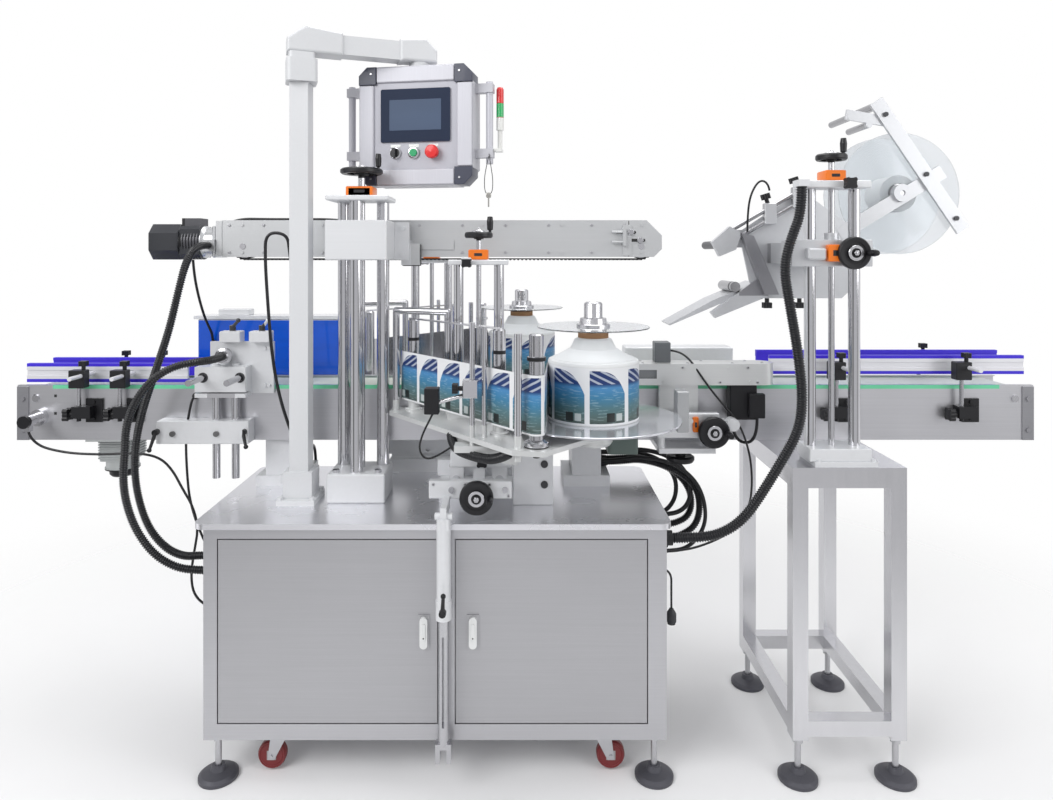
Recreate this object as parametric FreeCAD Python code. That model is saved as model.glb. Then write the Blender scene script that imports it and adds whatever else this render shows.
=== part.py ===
import FreeCAD, Part
import math
import os

# Labeling machine: a flat belt conveyor on a cabinet and a side stand, with a hold-down belt
# above it, a wrap unit, two side labelling heads and a tilted top labelling head.
# Millimetres. X runs along the conveyor, Y from the operator's side to the rear, Z up from
# the floor. While it is modelled, Y = 0 is the front face of cabinet and stand; at the end
# everything moves back by ORIGIN_DEPTH, so that the origin lies on the floor at mid depth.
ORIGIN_DEPTH = 383.0

# Clearances
SLIDE_FIT = 0.05        # radial play of rods and shafts in their bores
BODY_GAP = 0.5          # space between bodies that pass each other
DOOR_GAP = 3.0

# Conveyor
CONVEYOR_LENGTH = 3000.0
CONVEYOR_FRONT = 288.0  # outer face of the front side panel
CONVEYOR_TOP = 972.0
PANEL_HEIGHT = 162.0
PANEL_THICK = 4.0
BELT_WIDTH = 150.0
BELT_THICK = 3.0
BELT_SIDE_GAP = 16.0
ROLLER_RADIUS = 30.0
ROLLER_INSET = 55.0
SHAFT_RADIUS = 10.0
RAIL_HEIGHT = 56.0
RAIL_THICK = 14.0
RAIL_OPENING = 110.0
RAIL_ROD_RADIUS = 6.0
LEFT_RAIL_BOTTOM = 976.0
RIGHT_RAIL_BOTTOM = 1000.0

# Table, cabinet and feet
TABLE_LEFT = -854.0
TABLE_RIGHT = 374.0
TABLE_TOP = 669.0
TABLE_THICK = 15.0
TABLE_FRONT = -10.0
TABLE_DEPTH = 520.0
TABLE_CORNER = 28.0
CABINET_LEFT = -828.0
CABINET_RIGHT = 361.0
CABINET_BOTTOM = 112.0
CABINET_DEPTH = 490.0
CABINET_WALL = 3.0
DOOR_THICK = 18.0
LEFT_DOOR_X = (-790.0, -228.0)
RIGHT_DOOR_X = (-180.0, 310.0)
DOOR_Z = (156.0, 625.0)
FOOT_PAD_RADIUS = 50.0
FOOT_STUD_RADIUS = 8.0
CASTOR_RADIUS = 37.0
CASTOR_WIDTH = 26.0
CASTOR_LIFT = 4.0

# Side stand
STAND_LEFT = 684.0
STAND_RIGHT = 977.0
STAND_DEPTH = 465.0
STAND_TUBE = 40.0
STAND_WALL = 3.0
STAND_TOP = CONVEYOR_TOP - PANEL_HEIGHT
STAND_PLATE = 12.0
STAND_CLEARANCE = 110.0
LOWER_RAIL_Z = 120.0


def box(x0, y0, z0, x1, y1, z1):
    low = FreeCAD.Vector(min(x0, x1), min(y0, y1), min(z0, z1))
    return Part.makeBox(abs(x1 - x0), abs(y1 - y0), abs(z1 - z0), low)


def rod(start, end, radius):
    a = FreeCAD.Vector(*start)
    b = FreeCAD.Vector(*end)
    return Part.makeCylinder(radius, a.distanceToPoint(b), a, b - a)


def tube(start, end, radius, bore):
    return rod(start, end, radius).cut(rod(start, end, bore))


def cone(start, end, radius, end_radius):
    a = FreeCAD.Vector(*start)
    b = FreeCAD.Vector(*end)
    return Part.makeCone(radius, end_radius, a.distanceToPoint(b), a, b - a)


def plate(points, depth):
    """A flat outline pushed along the depth vector."""
    corners = [FreeCAD.Vector(*p) for p in points]
    face = Part.Face(Part.makePolygon(corners + corners[:1]))
    return face.extrude(FreeCAD.Vector(*depth))


def rounded_plate(x0, y0, x1, y1, z0, z1, radius):
    slab = box(x0, y0, z0, x1, y1, z1)
    upright = [e for e in slab.Edges if abs(e.Vertexes[0].X - e.Vertexes[-1].X) < 1e-6
               and abs(e.Vertexes[0].Y - e.Vertexes[-1].Y) < 1e-6]
    return slab.makeFillet(radius, upright)


def soften(shape, radius):
    """Chamfer every straight edge of a plain block."""
    return shape.makeChamfer(radius, shape.Edges)


def revolve(profile, centre, axis=(0, 0, 1)):
    """Turn a half section of (radius, height) pairs about an axis through centre."""
    corners = [FreeCAD.Vector(r, 0, h) for r, h in profile]
    face = Part.Face(Part.makePolygon(corners + corners[:1]))
    solid = face.revolve(FreeCAD.Vector(0, 0, 0), FreeCAD.Vector(0, 0, 1), 360)
    turn = FreeCAD.Rotation(FreeCAD.Vector(0, 0, 1), FreeCAD.Vector(*axis))
    solid.Placement = FreeCAD.Placement(FreeCAD.Vector(*centre), turn)
    return solid


def fuse(first, *others):
    return first.multiFuse(list(others)).removeSplitter() if others else first


def group(*shapes):
    solids = []
    for shape in shapes:
        solids += shape.Solids
    return Part.makeCompound(solids)


def hexagon_bolt(centre, axis, across, height):
    """A hexagon head standing on a face."""
    corner = across / math.sqrt(3)
    points = [(corner * math.cos(math.radians(60 * k)), corner * math.sin(math.radians(60 * k)), 0)
              for k in range(6)]
    head = plate(points, (0, 0, height))
    turn = FreeCAD.Rotation(FreeCAD.Vector(0, 0, 1), FreeCAD.Vector(*axis))
    head.Placement = FreeCAD.Placement(FreeCAD.Vector(*centre), turn)
    return head


def star_knob(centre, axis, radius, height):
    """Clamp knob with four lobes and a short neck, standing on centre along axis."""
    body = rod((0, 0, height * 0.45), (0, 0, height), radius * 0.72)
    lobes = [rod((radius * 0.68 * math.cos(a), radius * 0.68 * math.sin(a), height * 0.45),
                 (radius * 0.68 * math.cos(a), radius * 0.68 * math.sin(a), height),
                 radius * 0.32) for a in [math.radians(45 + 90 * k) for k in range(4)]]
    knob = fuse(rod((0, 0, 0), (0, 0, height * 0.5), radius * 0.4), body, *lobes)
    turn = FreeCAD.Rotation(FreeCAD.Vector(0, 0, 1), FreeCAD.Vector(*axis))
    knob.Placement = FreeCAD.Placement(FreeCAD.Vector(*centre), turn)
    return knob


def handwheel(centre, axis, radius, shaft_radius, shaft_length, grip=True):
    """Dished handwheel: round rim, hub, web and a turning grip; the shaft runs back from it."""
    rim = radius * 0.2
    section = [(shaft_radius * 0.9, -8), (radius * 0.34, -8), (radius * 0.36, 2),
               (radius - 1.6 * rim, 2), (radius - 1.6 * rim, -4), (radius - 0.4 * rim, -5),
               (radius, -1), (radius, 7), (radius - 0.4 * rim, 11), (radius - 1.6 * rim, 10),
               (radius - 1.6 * rim, 8), (radius * 0.36, 8), (radius * 0.34, 12),
               (shaft_radius * 0.9, 12)]
    wheel = revolve(section, (0, 0, 0))
    shaft = rod((0, 0, -shaft_length), (0, 0, 14), shaft_radius)
    parts = [wheel, shaft]
    if grip:
        arm = radius - rim
        parts.append(revolve([(0, 8), (4, 8), (4, 16), (8, 18), (9, 40), (7, 54), (0, 55)],
                             (arm, 0, 0)))
    solid = fuse(*parts)
    turn = FreeCAD.Rotation(FreeCAD.Vector(0, 0, 1), FreeCAD.Vector(*axis))
    solid.Placement = FreeCAD.Placement(FreeCAD.Vector(*centre), turn)
    return solid


def cord(name, points, diameter):
    """Plain tube along straight runs joined by tangent arcs."""
    route = [FreeCAD.Vector(*p) for p in points]
    edges = []
    here = route[0]
    radii = []
    for before, corner, after in zip(route, route[1:], route[2:]):
        back = before - corner
        ahead = after - corner
        run = min(back.Length, ahead.Length)
        turn = math.pi - back.getAngle(ahead)
        reach = 0.45 * run
        radius = reach / math.tan(turn / 2)
        radii.append(round(radius))
        start = corner + back.normalize() * reach
        end = corner + ahead.normalize() * reach
        centre_way = (back + ahead).normalize()
        centre = corner + centre_way * (radius / math.cos(turn / 2))
        middle = centre - centre_way * radius
        edges.append(Part.LineSegment(here, start).toShape())
        edges.append(Part.Arc(start, middle, end).toShape())
        here = end
    edges.append(Part.LineSegment(here, route[-1]).toShape())
    path = Part.Wire(edges)
    ring = Part.Wire(Part.makeCircle(diameter / 2, route[0], route[1] - route[0]))
    solid = path.makePipeShell([ring], True, True)
    wanted = math.pi * diameter ** 2 / 4 * path.Length
    print(name, "length", round(path.Length), "radii", radii,
          "volume ratio", round(solid.Volume / wanted, 4))
    return solid


pieces = {}

# Cabinet
cabinet_top = TABLE_TOP - TABLE_THICK
shell = box(CABINET_LEFT, 0, CABINET_BOTTOM, CABINET_RIGHT, CABINET_DEPTH, cabinet_top)
door_recess = DOOR_THICK + 2
hollow = box(CABINET_LEFT + CABINET_WALL, door_recess, CABINET_BOTTOM + CABINET_WALL,
             CABINET_RIGHT - CABINET_WALL, CABINET_DEPTH - CABINET_WALL, cabinet_top - CABINET_WALL)
shell = shell.cut(hollow)
for left, right in (LEFT_DOOR_X, RIGHT_DOOR_X):
    shell = shell.cut(box(left - DOOR_GAP, -1, DOOR_Z[0] - DOOR_GAP, right + DOOR_GAP,
                          DOOR_THICK + BODY_GAP, DOOR_Z[1] + DOOR_GAP))
    shell = shell.cut(box(left + 14, 0, DOOR_Z[0] + 14, right - 14, door_recess + 1, DOOR_Z[1] - 14))
pieces["cabinet_shell"] = shell

pieces["table_top"] = rounded_plate(TABLE_LEFT, TABLE_FRONT, TABLE_RIGHT, TABLE_FRONT + TABLE_DEPTH,
                                    cabinet_top, TABLE_TOP, TABLE_CORNER)


def door(left, right, latch_x):
    """Folded sheet door, open behind, with a seat plate and a bore for its latch."""
    leaf = box(left, 0, DOOR_Z[0], right, DOOR_THICK, DOOR_Z[1])
    leaf = leaf.cut(box(left + 2, 2, DOOR_Z[0] + 2, right - 2, DOOR_THICK + 1, DOOR_Z[1] - 2))
    middle = sum(DOOR_Z) / 2
    seat = box(latch_x - 15, -LATCH_SEAT, middle - 44, latch_x + 15, 0.5, middle + 44)
    tunnel = rod((latch_x, 1, middle), (latch_x, DOOR_THICK, middle), 12)
    leaf = fuse(leaf, seat, tunnel)
    return leaf.cut(rod((latch_x, -9, middle), (latch_x, DOOR_THICK + 1, middle), 6 + SLIDE_FIT))


def latch(latch_x):
    """Turning latch: pad in front of its seat, spindle through the door, tongue behind it."""
    middle = sum(DOOR_Z) / 2
    front = -LATCH_SEAT - BODY_GAP
    pad = fuse(box(latch_x - 10, front - 8, middle - 32, latch_x + 10, front, middle + 32),
               rod((latch_x, front - 8, middle - 30), (latch_x, front, middle - 30), 10),
               rod((latch_x, front - 8, middle + 30), (latch_x, front, middle + 30), 10))
    spindle = rod((latch_x, front - 1, middle), (latch_x, 27, middle), 6)
    tongue = box(latch_x - 8, 24, middle - 10, latch_x + 8, 27, middle + 46)
    return fuse(pad, spindle, rod((latch_x, DOOR_THICK + BODY_GAP, middle), (latch_x, 27, middle), 9),
                tongue)


LATCH_SEAT = 3.0
LEFT_LATCH_X = -262.0
RIGHT_LATCH_X = -136.0
pieces["left_door"] = door(*LEFT_DOOR_X, LEFT_LATCH_X)
pieces["right_door"] = door(*RIGHT_DOOR_X, RIGHT_LATCH_X)
pieces["left_door_latch"] = latch(LEFT_LATCH_X)
pieces["right_door_latch"] = latch(RIGHT_LATCH_X)


def foot(x, y, top):
    """Levelling foot: ribbed pad, ball seat, threaded stud and lock nut."""
    pad = revolve([(0, 0), (FOOT_PAD_RADIUS, 0), (FOOT_PAD_RADIUS, 8), (FOOT_PAD_RADIUS - 8, 14),
                   (20, 20), (16, 32), (0, 32)], (x, y, 0))
    stud = rod((x, y, 30), (x, y, top), FOOT_STUD_RADIUS)
    nut = hexagon_bolt((x, y, top - 14), (0, 0, 1), 24, 14)
    return fuse(pad, stud, nut)


FOOT_INSET = 28.0
cabinet_foot_x = (CABINET_LEFT + FOOT_INSET, CABINET_RIGHT - FOOT_INSET)
cabinet_foot_y = (FOOT_INSET, CABINET_DEPTH - FOOT_INSET)
leg = STAND_TUBE / 2
stand_foot_x = (STAND_LEFT + leg, STAND_RIGHT - leg)
stand_foot_y = (leg, STAND_DEPTH - leg)
feet = [foot(x, y, CABINET_BOTTOM) for x in cabinet_foot_x for y in cabinet_foot_y]
feet += [foot(x, y, STAND_CLEARANCE) for x in stand_foot_x for y in stand_foot_y]
pieces["levelling_feet"] = group(*feet)


def castor(x, y, trail):
    """Swivel castor: top plate and stem, forked leg set back from the stem, wheel on its axle."""
    wheel_z = CASTOR_RADIUS + CASTOR_LIFT
    half = CASTOR_WIDTH / 2
    top = CABINET_BOTTOM
    crown = box(x - 24, y - half - 5, top - 14, x + 24, y + half + 5, top - 10)
    cheeks = [plate([(x - 22, y0, top - 13), (x + 22, y0, top - 13),
                     (x + trail + 9, y0, wheel_z - 9), (x + trail - 9, y0, wheel_z - 9)], (0, 4, 0))
              for y0 in (y - half - 5, y + half + 1)]
    stem = rod((x, y, top - 10), (x, y, top - BODY_GAP), 18)
    axle = rod((x + trail, y - half - 8, wheel_z), (x + trail, y + half + 8, wheel_z), 5)
    wheel = revolve([(5 + SLIDE_FIT, -half), (CASTOR_RADIUS - 9, -half), (CASTOR_RADIUS - 7, -half + 2),
                     (CASTOR_RADIUS - 3, -half + 1), (CASTOR_RADIUS, -half + 6),
                     (CASTOR_RADIUS, half - 6), (CASTOR_RADIUS - 3, half - 1),
                     (CASTOR_RADIUS - 7, half - 2), (CASTOR_RADIUS - 9, half), (5 + SLIDE_FIT, half)],
                    (x + trail, y, wheel_z), (0, 1, 0))
    return fuse(crown, stem, axle, *cheeks), wheel


CASTOR_FRONT_Y = 60.0
CASTOR_X = (-647.0, 201.0)
CASTOR_TRAIL = 22.0
castor_places = {"front_left": (CASTOR_X[0], CASTOR_FRONT_Y),
                 "front_right": (CASTOR_X[1], CASTOR_FRONT_Y),
                 "rear_left": (CASTOR_X[0], CABINET_DEPTH - CASTOR_FRONT_Y),
                 "rear_right": (CASTOR_X[1], CABINET_DEPTH - CASTOR_FRONT_Y)}
for where, (x, y) in castor_places.items():
    fork, wheel = castor(x, y, math.copysign(CASTOR_TRAIL, x))
    pieces["castor_" + where] = group(fork, wheel)

# Side stand: one welded frame of square tube with a plate on top
def square_tube(start, end, size, wall):
    """Hollow square tube between two points on an axis direction."""
    a = FreeCAD.Vector(*start)
    b = FreeCAD.Vector(*end)
    along = (b - a).normalize()
    spread = FreeCAD.Vector(*[0 if abs(v) > 0.5 else 1 for v in along])
    outer = box(*(a - spread * (size / 2)), *(b + spread * (size / 2)))
    inner_half = size / 2 - wall
    inner = box(*(a - spread * inner_half), *(b + spread * inner_half))
    return outer.cut(inner)


plate_bottom = STAND_TOP - STAND_PLATE
frame = []
for x in stand_foot_x:
    for y in stand_foot_y:
        frame.append(square_tube((x, y, STAND_CLEARANCE), (x, y, plate_bottom), STAND_TUBE, STAND_WALL))
for z in (LOWER_RAIL_Z + leg, plate_bottom - leg):
    for y in stand_foot_y:
        frame.append(square_tube((stand_foot_x[0] + leg, y, z), (stand_foot_x[1] - leg, y, z),
                                 STAND_TUBE, STAND_WALL))
    for x in stand_foot_x:
        frame.append(square_tube((x, stand_foot_y[0] + leg, z), (x, stand_foot_y[1] - leg, z),
                                 STAND_TUBE, STAND_WALL))
caps = [box(x - leg, y - leg, STAND_CLEARANCE, x + leg, y + leg, STAND_CLEARANCE + 6)
        for x in stand_foot_x for y in stand_foot_y]
stand_plate = box(STAND_LEFT, 0, plate_bottom, STAND_RIGHT, STAND_DEPTH, STAND_TOP)
pieces["stand_frame"] = fuse(stand_plate, *frame, *caps)

# Conveyor: two side panels, a slider bed between them, belt and end rollers
half_length = CONVEYOR_LENGTH / 2
panel_bottom = CONVEYOR_TOP - PANEL_HEIGHT
inner_front = CONVEYOR_FRONT + PANEL_THICK
inner_width = BELT_WIDTH + 2 * BELT_SIDE_GAP
inner_rear = inner_front + inner_width
CONVEYOR_REAR = inner_rear + PANEL_THICK
belt_middle = (inner_front + inner_rear) / 2
belt_front = belt_middle - BELT_WIDTH / 2
belt_rear = belt_middle + BELT_WIDTH / 2
belt_top = CONVEYOR_TOP - 6
roller_z = belt_top - BELT_THICK - ROLLER_RADIUS
roller_x = half_length - ROLLER_INSET
LIP_THICK = 3.0
SCREW_HEAD = 7.0


def side_panel(outer, inner, lip_end):
    """Long sheet panel with inward lips, shaft holes and a row of screw heads."""
    sheet = box(-half_length, outer, panel_bottom, half_length, inner, CONVEYOR_TOP)
    lips = [box(-half_length, inner, z, half_length, lip_end, z + LIP_THICK)
            for z in (panel_bottom, CONVEYOR_TOP - LIP_THICK)]
    panel = fuse(sheet, *lips)
    for x in (-roller_x, roller_x):
        panel = panel.cut(rod((x, outer - 20, roller_z), (x, inner + 20, roller_z),
                              SHAFT_RADIUS + SLIDE_FIT))
    tab = 34.0
    out = -1 if outer < inner else 1
    for x in (-half_length, half_length - tab):
        panel = fuse(panel, box(x, outer, panel_bottom, x + tab, outer + out * 3, CONVEYOR_TOP - 4))
    for x in (-half_length + 17, half_length - 17):
        for z in (panel_bottom + 30, CONVEYOR_TOP - 40):
            panel = fuse(panel, rod((x, outer, z), (x, outer + out * 7, z), SCREW_HEAD))
    return panel


pieces["conveyor_front_panel"] = side_panel(CONVEYOR_FRONT, inner_front, inner_front + 8)
pieces["conveyor_rear_panel"] = side_panel(CONVEYOR_REAR, inner_rear, inner_rear - 8)

bed_top = belt_top - BELT_THICK
bed = [box(-roller_x + 45, inner_front, bed_top - 4, roller_x - 45, inner_rear, bed_top)]
bed += [box(-roller_x + 45, y, bed_top - 22, roller_x - 45, y + 3, bed_top)
        for y in (inner_front, inner_rear - 3)]
CROSS_BARS = 6
for k in range(CROSS_BARS):
    x = -roller_x + 150 + k * (2 * roller_x - 300) / (CROSS_BARS - 1)
    bed.append(box(x - 20, inner_front, bed_top - 44, x + 20, inner_rear, bed_top - 4))
pieces["conveyor_bed"] = fuse(*bed)


def belt_loop(x0, x1, radius, thick, y0, y1, z):
    """Closed flat belt round two equal rollers whose axes lie at height z."""
    outer = fuse(box(x0, y0, z - radius - thick, x1, y1, z + radius + thick),
                 rod((x0, y0, z), (x0, y1, z), radius + thick),
                 rod((x1, y0, z), (x1, y1, z), radius + thick))
    inner = fuse(box(x0, y0 - 1, z - radius, x1, y1 + 1, z + radius),
                 rod((x0, y0 - 1, z), (x0, y1 + 1, z), radius),
                 rod((x1, y0 - 1, z), (x1, y1 + 1, z), radius))
    return outer.cut(inner)


pieces["conveyor_belt"] = belt_loop(-roller_x, roller_x, ROLLER_RADIUS + SLIDE_FIT,
                                    BELT_THICK - SLIDE_FIT,
                                    belt_front, belt_rear, roller_z)


def roller(x, z, y0, y1, radius, shaft, shaft0, shaft1):
    """Roller crowned at its middle on a through shaft."""
    middle = (y0 + y1) / 2
    body = revolve([(0, y0 - middle), (radius - 1.5, y0 - middle), (radius, y0 - middle + 30),
                    (radius, y1 - middle - 30), (radius - 1.5, y1 - middle), (0, y1 - middle)],
                   (x, middle, z), (0, 1, 0))
    return fuse(body, rod((x, shaft0, z), (x, shaft1, z), shaft))


pieces["conveyor_drive_roller"] = roller(-roller_x, roller_z, belt_front - 4, belt_rear + 4,
                                         ROLLER_RADIUS,
                                         SHAFT_RADIUS, CONVEYOR_FRONT - 5, CONVEYOR_REAR + 5)
pieces["conveyor_idler_roller"] = roller(roller_x, roller_z, belt_front - 4, belt_rear + 4, ROLLER_RADIUS,
                                         SHAFT_RADIUS, CONVEYOR_FRONT - 5, CONVEYOR_REAR + 5)

# Gear motor hanging below the left end: finned body, flange ring and fan cover
MOTOR_X = -1240.0
MOTOR_RADIUS = 46.0
motor_y = belt_middle
gear_bottom = panel_bottom - 78
motor = [rounded_plate(MOTOR_X - 48, motor_y - 48, MOTOR_X + 48, motor_y + 48, gear_bottom,
                       panel_bottom - 5, 10),
         box(MOTOR_X - 60, CONVEYOR_FRONT, panel_bottom - 6, MOTOR_X + 60, CONVEYOR_REAR, panel_bottom)]
FINS = 8
for k in range(FINS):
    z = gear_bottom + 8 + k * 8
    motor.append(rounded_plate(MOTOR_X - 52, motor_y - 52, MOTOR_X + 52, motor_y + 52, z, z + 3, 12))
motor.append(rod((MOTOR_X, motor_y, gear_bottom - 26), (MOTOR_X, motor_y, gear_bottom), MOTOR_RADIUS))
motor.append(rod((MOTOR_X, motor_y, gear_bottom - 30), (MOTOR_X, motor_y, gear_bottom - 24),
                 MOTOR_RADIUS + 3))
motor.append(revolve([(0, -52), (30, -52), (36, -46), (38, -30), (38, -28), (0, -28)],
                     (MOTOR_X, motor_y, gear_bottom)))
pieces["conveyor_gear_motor"] = fuse(*motor)

# Two supports carry the conveyor on the table, the stand carries its right part
SUPPORT_X = (-730.0, 182.0)
SUPPORT_WIDTH = 86.0
SUPPORT_BASE = 138.0
SUPPORT_BASE_THICK = 32.0
support_y = (CONVEYOR_FRONT + 18, CONVEYOR_REAR - 18)
supports = []
for x in SUPPORT_X:
    post = box(x - SUPPORT_WIDTH / 2, support_y[0], TABLE_TOP, x + SUPPORT_WIDTH / 2, support_y[1],
               panel_bottom)
    base = box(x - SUPPORT_BASE / 2, support_y[0] - 6, TABLE_TOP, x + SUPPORT_BASE / 2, support_y[1] + 6,
               TABLE_TOP + SUPPORT_BASE_THICK)
    supports.append(fuse(post, base))
pieces["conveyor_supports"] = group(*supports)


# Guide rails on sliding rods held by brackets on the panels
BRACKET_OUT = 22.0
CLAMP_SIZE = 46.0
CLAMP_HEIGHT = 52.0
CLAMP_DEPTH = 30.0
POST_RADIUS = 6.0
RAIL_END_INSET = 10.0
LEFT_RAIL_LENGTH = 480.0
RIGHT_RAIL_LENGTH = 760.0
LEFT_RAIL_X = (RAIL_END_INSET - half_length, RAIL_END_INSET - half_length + LEFT_RAIL_LENGTH)
RIGHT_RAIL_X = (half_length - RAIL_END_INSET - RIGHT_RAIL_LENGTH, half_length - RAIL_END_INSET)
LEFT_BRACKET_X = (LEFT_RAIL_X[0] + 184, LEFT_RAIL_X[0] + 304)
RIGHT_BRACKET_X = (RIGHT_RAIL_X[1] - 581, RIGHT_RAIL_X[1] - 215)
rail_front = belt_middle - RAIL_OPENING / 2
rail_rear = belt_middle + RAIL_OPENING / 2


def rail_bracket(x, panel_face, out, rail_bottom):
    """Panel plate with a foot, upright rod, clamp block bored for the rail's rod, two knobs."""
    y0 = panel_face
    y_post = panel_face + out * BRACKET_OUT
    rod_z = rail_bottom + RAIL_HEIGHT / 2
    top = rod_z + 16
    sheet = box(x + 12, y0, panel_bottom + 54, x + 60, y0 + out * 8, panel_bottom + 124)
    arm = box(x - 14, y0 + out * 3, panel_bottom + 70, x + 40, y0 + out * 36, panel_bottom + 104)
    post = rod((x, y_post, panel_bottom + 60), (x, y_post, top), POST_RADIUS)
    block = soften(box(x - CLAMP_SIZE / 2, y_post - CLAMP_DEPTH / 2, top - CLAMP_HEIGHT,
                       x + CLAMP_SIZE / 2, y_post + CLAMP_DEPTH / 2, top), 2)
    bore = rod((x + 14, y_post - 40, rod_z), (x + 14, y_post + 40, rod_z), RAIL_ROD_RADIUS + SLIDE_FIT)
    top_knob = star_knob((x + 14, y_post, top), (0, 0, 1), 14, 26)
    screws = [rod((x + 36, y0 + out * 8, z), (x + 36, y0 + out * 12, z), 5)
              for z in (panel_bottom + 64, panel_bottom + 114)]
    side_knob = star_knob((x - 14, y_post, panel_bottom + 80), (-1, 0, 0), 22, 26)
    return fuse(sheet, arm, post, block.cut(bore), top_knob, side_knob, *screws)


def guide_rail(ends, y, side, rail_bottom, bracket_x, panel_face):
    """Rail body with two proud wear strips on the product side, and its rods."""
    out = -side
    back = y + out * RAIL_THICK
    profile = box(ends[0], y + out * 2, rail_bottom, ends[1], back, rail_bottom + RAIL_HEIGHT)
    groove = box(ends[0] - 1, back - out * 3, rail_bottom + 20, ends[1] + 1, back + out, rail_bottom + 36)
    body = profile.cut(groove)
    strips = [box(ends[0], y, z, ends[1], y + out * 4, z + 9)
              for z in (rail_bottom, rail_bottom + RAIL_HEIGHT - 9)]
    z = rail_bottom + RAIL_HEIGHT / 2
    end_y = panel_face + out * (BRACKET_OUT + 70)
    rods = [rod((x + 14, back - out * 3, z), (x + 14, end_y, z), RAIL_ROD_RADIUS) for x in bracket_x]
    return fuse(body, *strips, *rods)


brackets = []
for xs, rail_z in ((LEFT_BRACKET_X, LEFT_RAIL_BOTTOM), (RIGHT_BRACKET_X, RIGHT_RAIL_BOTTOM)):
    for x in xs:
        brackets.append(rail_bracket(x, CONVEYOR_FRONT, -1, rail_z))
        brackets.append(rail_bracket(x, CONVEYOR_REAR, 1, rail_z))
pieces["rail_brackets"] = group(*brackets)
for name, ends, xs, rail_z in (("left", LEFT_RAIL_X, LEFT_BRACKET_X, LEFT_RAIL_BOTTOM),
                               ("right", RIGHT_RAIL_X, RIGHT_BRACKET_X, RIGHT_RAIL_BOTTOM)):
    pieces["front_" + name + "_rail"] = guide_rail(ends, rail_front, 1, rail_z, xs, CONVEYOR_FRONT)
    pieces["rear_" + name + "_rail"] = guide_rail(ends, rail_rear, -1, rail_z, xs, CONVEYOR_REAR)

# Belt encoder on the left end of the front panel
ENCODER_Z = 878.0
ENCODER_INSET = 68.0
encoder_x = ENCODER_INSET - half_length
encoder = []
for near, far, radius in ((0, 16, 24), (16, 66, 15), (66, 78, 18)):
    encoder.append(rod((encoder_x, CONVEYOR_FRONT - far, ENCODER_Z),
                       (encoder_x, CONVEYOR_FRONT - near, ENCODER_Z), radius))
encoder.append(box(encoder_x - 8, CONVEYOR_FRONT - 62, ENCODER_Z - 30,
                   encoder_x + 8, CONVEYOR_FRONT - 46, ENCODER_Z - 10))
pieces["belt_encoder"] = fuse(*encoder)

# Side unit on the front panel, left of the column: bar, two uprights, clamp block, mounting plate
UNIT_ROD_RADIUS = 11.0
unit_front = CONVEYOR_FRONT - 50
unit_middle = (unit_front + CONVEYOR_FRONT) / 2
UNIT_ROD_X = (-902.0, -846.0)
UNIT_BAR_X = (-1067.0, -800.0)
UNIT_ROD_Z = (706.0, 1040.0)


def clamp_lever(centre, axis, reach):
    """Clamp lever: hub on the face and a slim bent handle with a round end."""
    a = FreeCAD.Vector(*centre)
    way = FreeCAD.Vector(*axis)
    hub = rod(a, a + way * 16, 9)
    end = a + way * 26 + FreeCAD.Vector(*reach)
    arm = cone(a + way * 10, end, 5.5, 4)
    ball = Part.makeSphere(6.5, end)
    return fuse(hub, arm, ball)


bar = soften(box(UNIT_BAR_X[0], unit_front, panel_bottom, UNIT_BAR_X[1], CONVEYOR_FRONT,
                 panel_bottom + 66), 2)
uprights = [rod((x, unit_middle, UNIT_ROD_Z[0]), (x, unit_middle, UNIT_ROD_Z[1]), UNIT_ROD_RADIUS)
            for x in UNIT_ROD_X]
clamp = box(-950, unit_front - 12, 946, -804, CONVEYOR_FRONT - 12, 1034)
clamp = clamp.cut(box(-951, unit_front - 13, 958, -803, unit_front + 20, 962))
head_plate = box(-925, CONVEYOR_FRONT - 14, 951, -739, CONVEYOR_FRONT - 2, 1102)
pads = [soften(box(x, unit_front + 8, 1102, x + 60, CONVEYOR_FRONT - 2, 1134), 2) for x in (-888, -802)]
cross_rods = [rod((x, 130, 1004), (x, CONVEYOR_FRONT - 12, 1004), 9) for x in (-926, -820)]
socket_screws = [rod((x, unit_front - 6, 840), (x, unit_front, 840), 8) for x in (-1018, -892)]
plate_screws = [rod((x, CONVEYOR_FRONT - 20, z), (x, CONVEYOR_FRONT - 10, z), 5) for x in (-764, -752)
                for z in (975, 1084)]
levers = [clamp_lever((UNIT_BAR_X[0] + 4, unit_front, 846), (0, -1, 0), (-8, -4, -46)),
          clamp_lever((UNIT_BAR_X[1] - 12, unit_front, 846), (0, -1, 0), (16, -4, -36))]
levers += [clamp_lever((x + 30, unit_middle + 8, 1134), (0, 0, 1), (24, -20, 6)) for x in (-888, -802)]
fitting = revolve([(0, 0), (18, 0), (18, 14), (24, 16), (24, 30), (17, 32), (17, 44), (0, 44)],
                  (-876, CONVEYOR_FRONT - 14, 1062), (0, -1, 0))
pieces["side_post_unit"] = fuse(bar, *uprights, clamp, head_plate, *pads, *cross_rods, *socket_screws,
                                *plate_screws, *levers, fitting)

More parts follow.
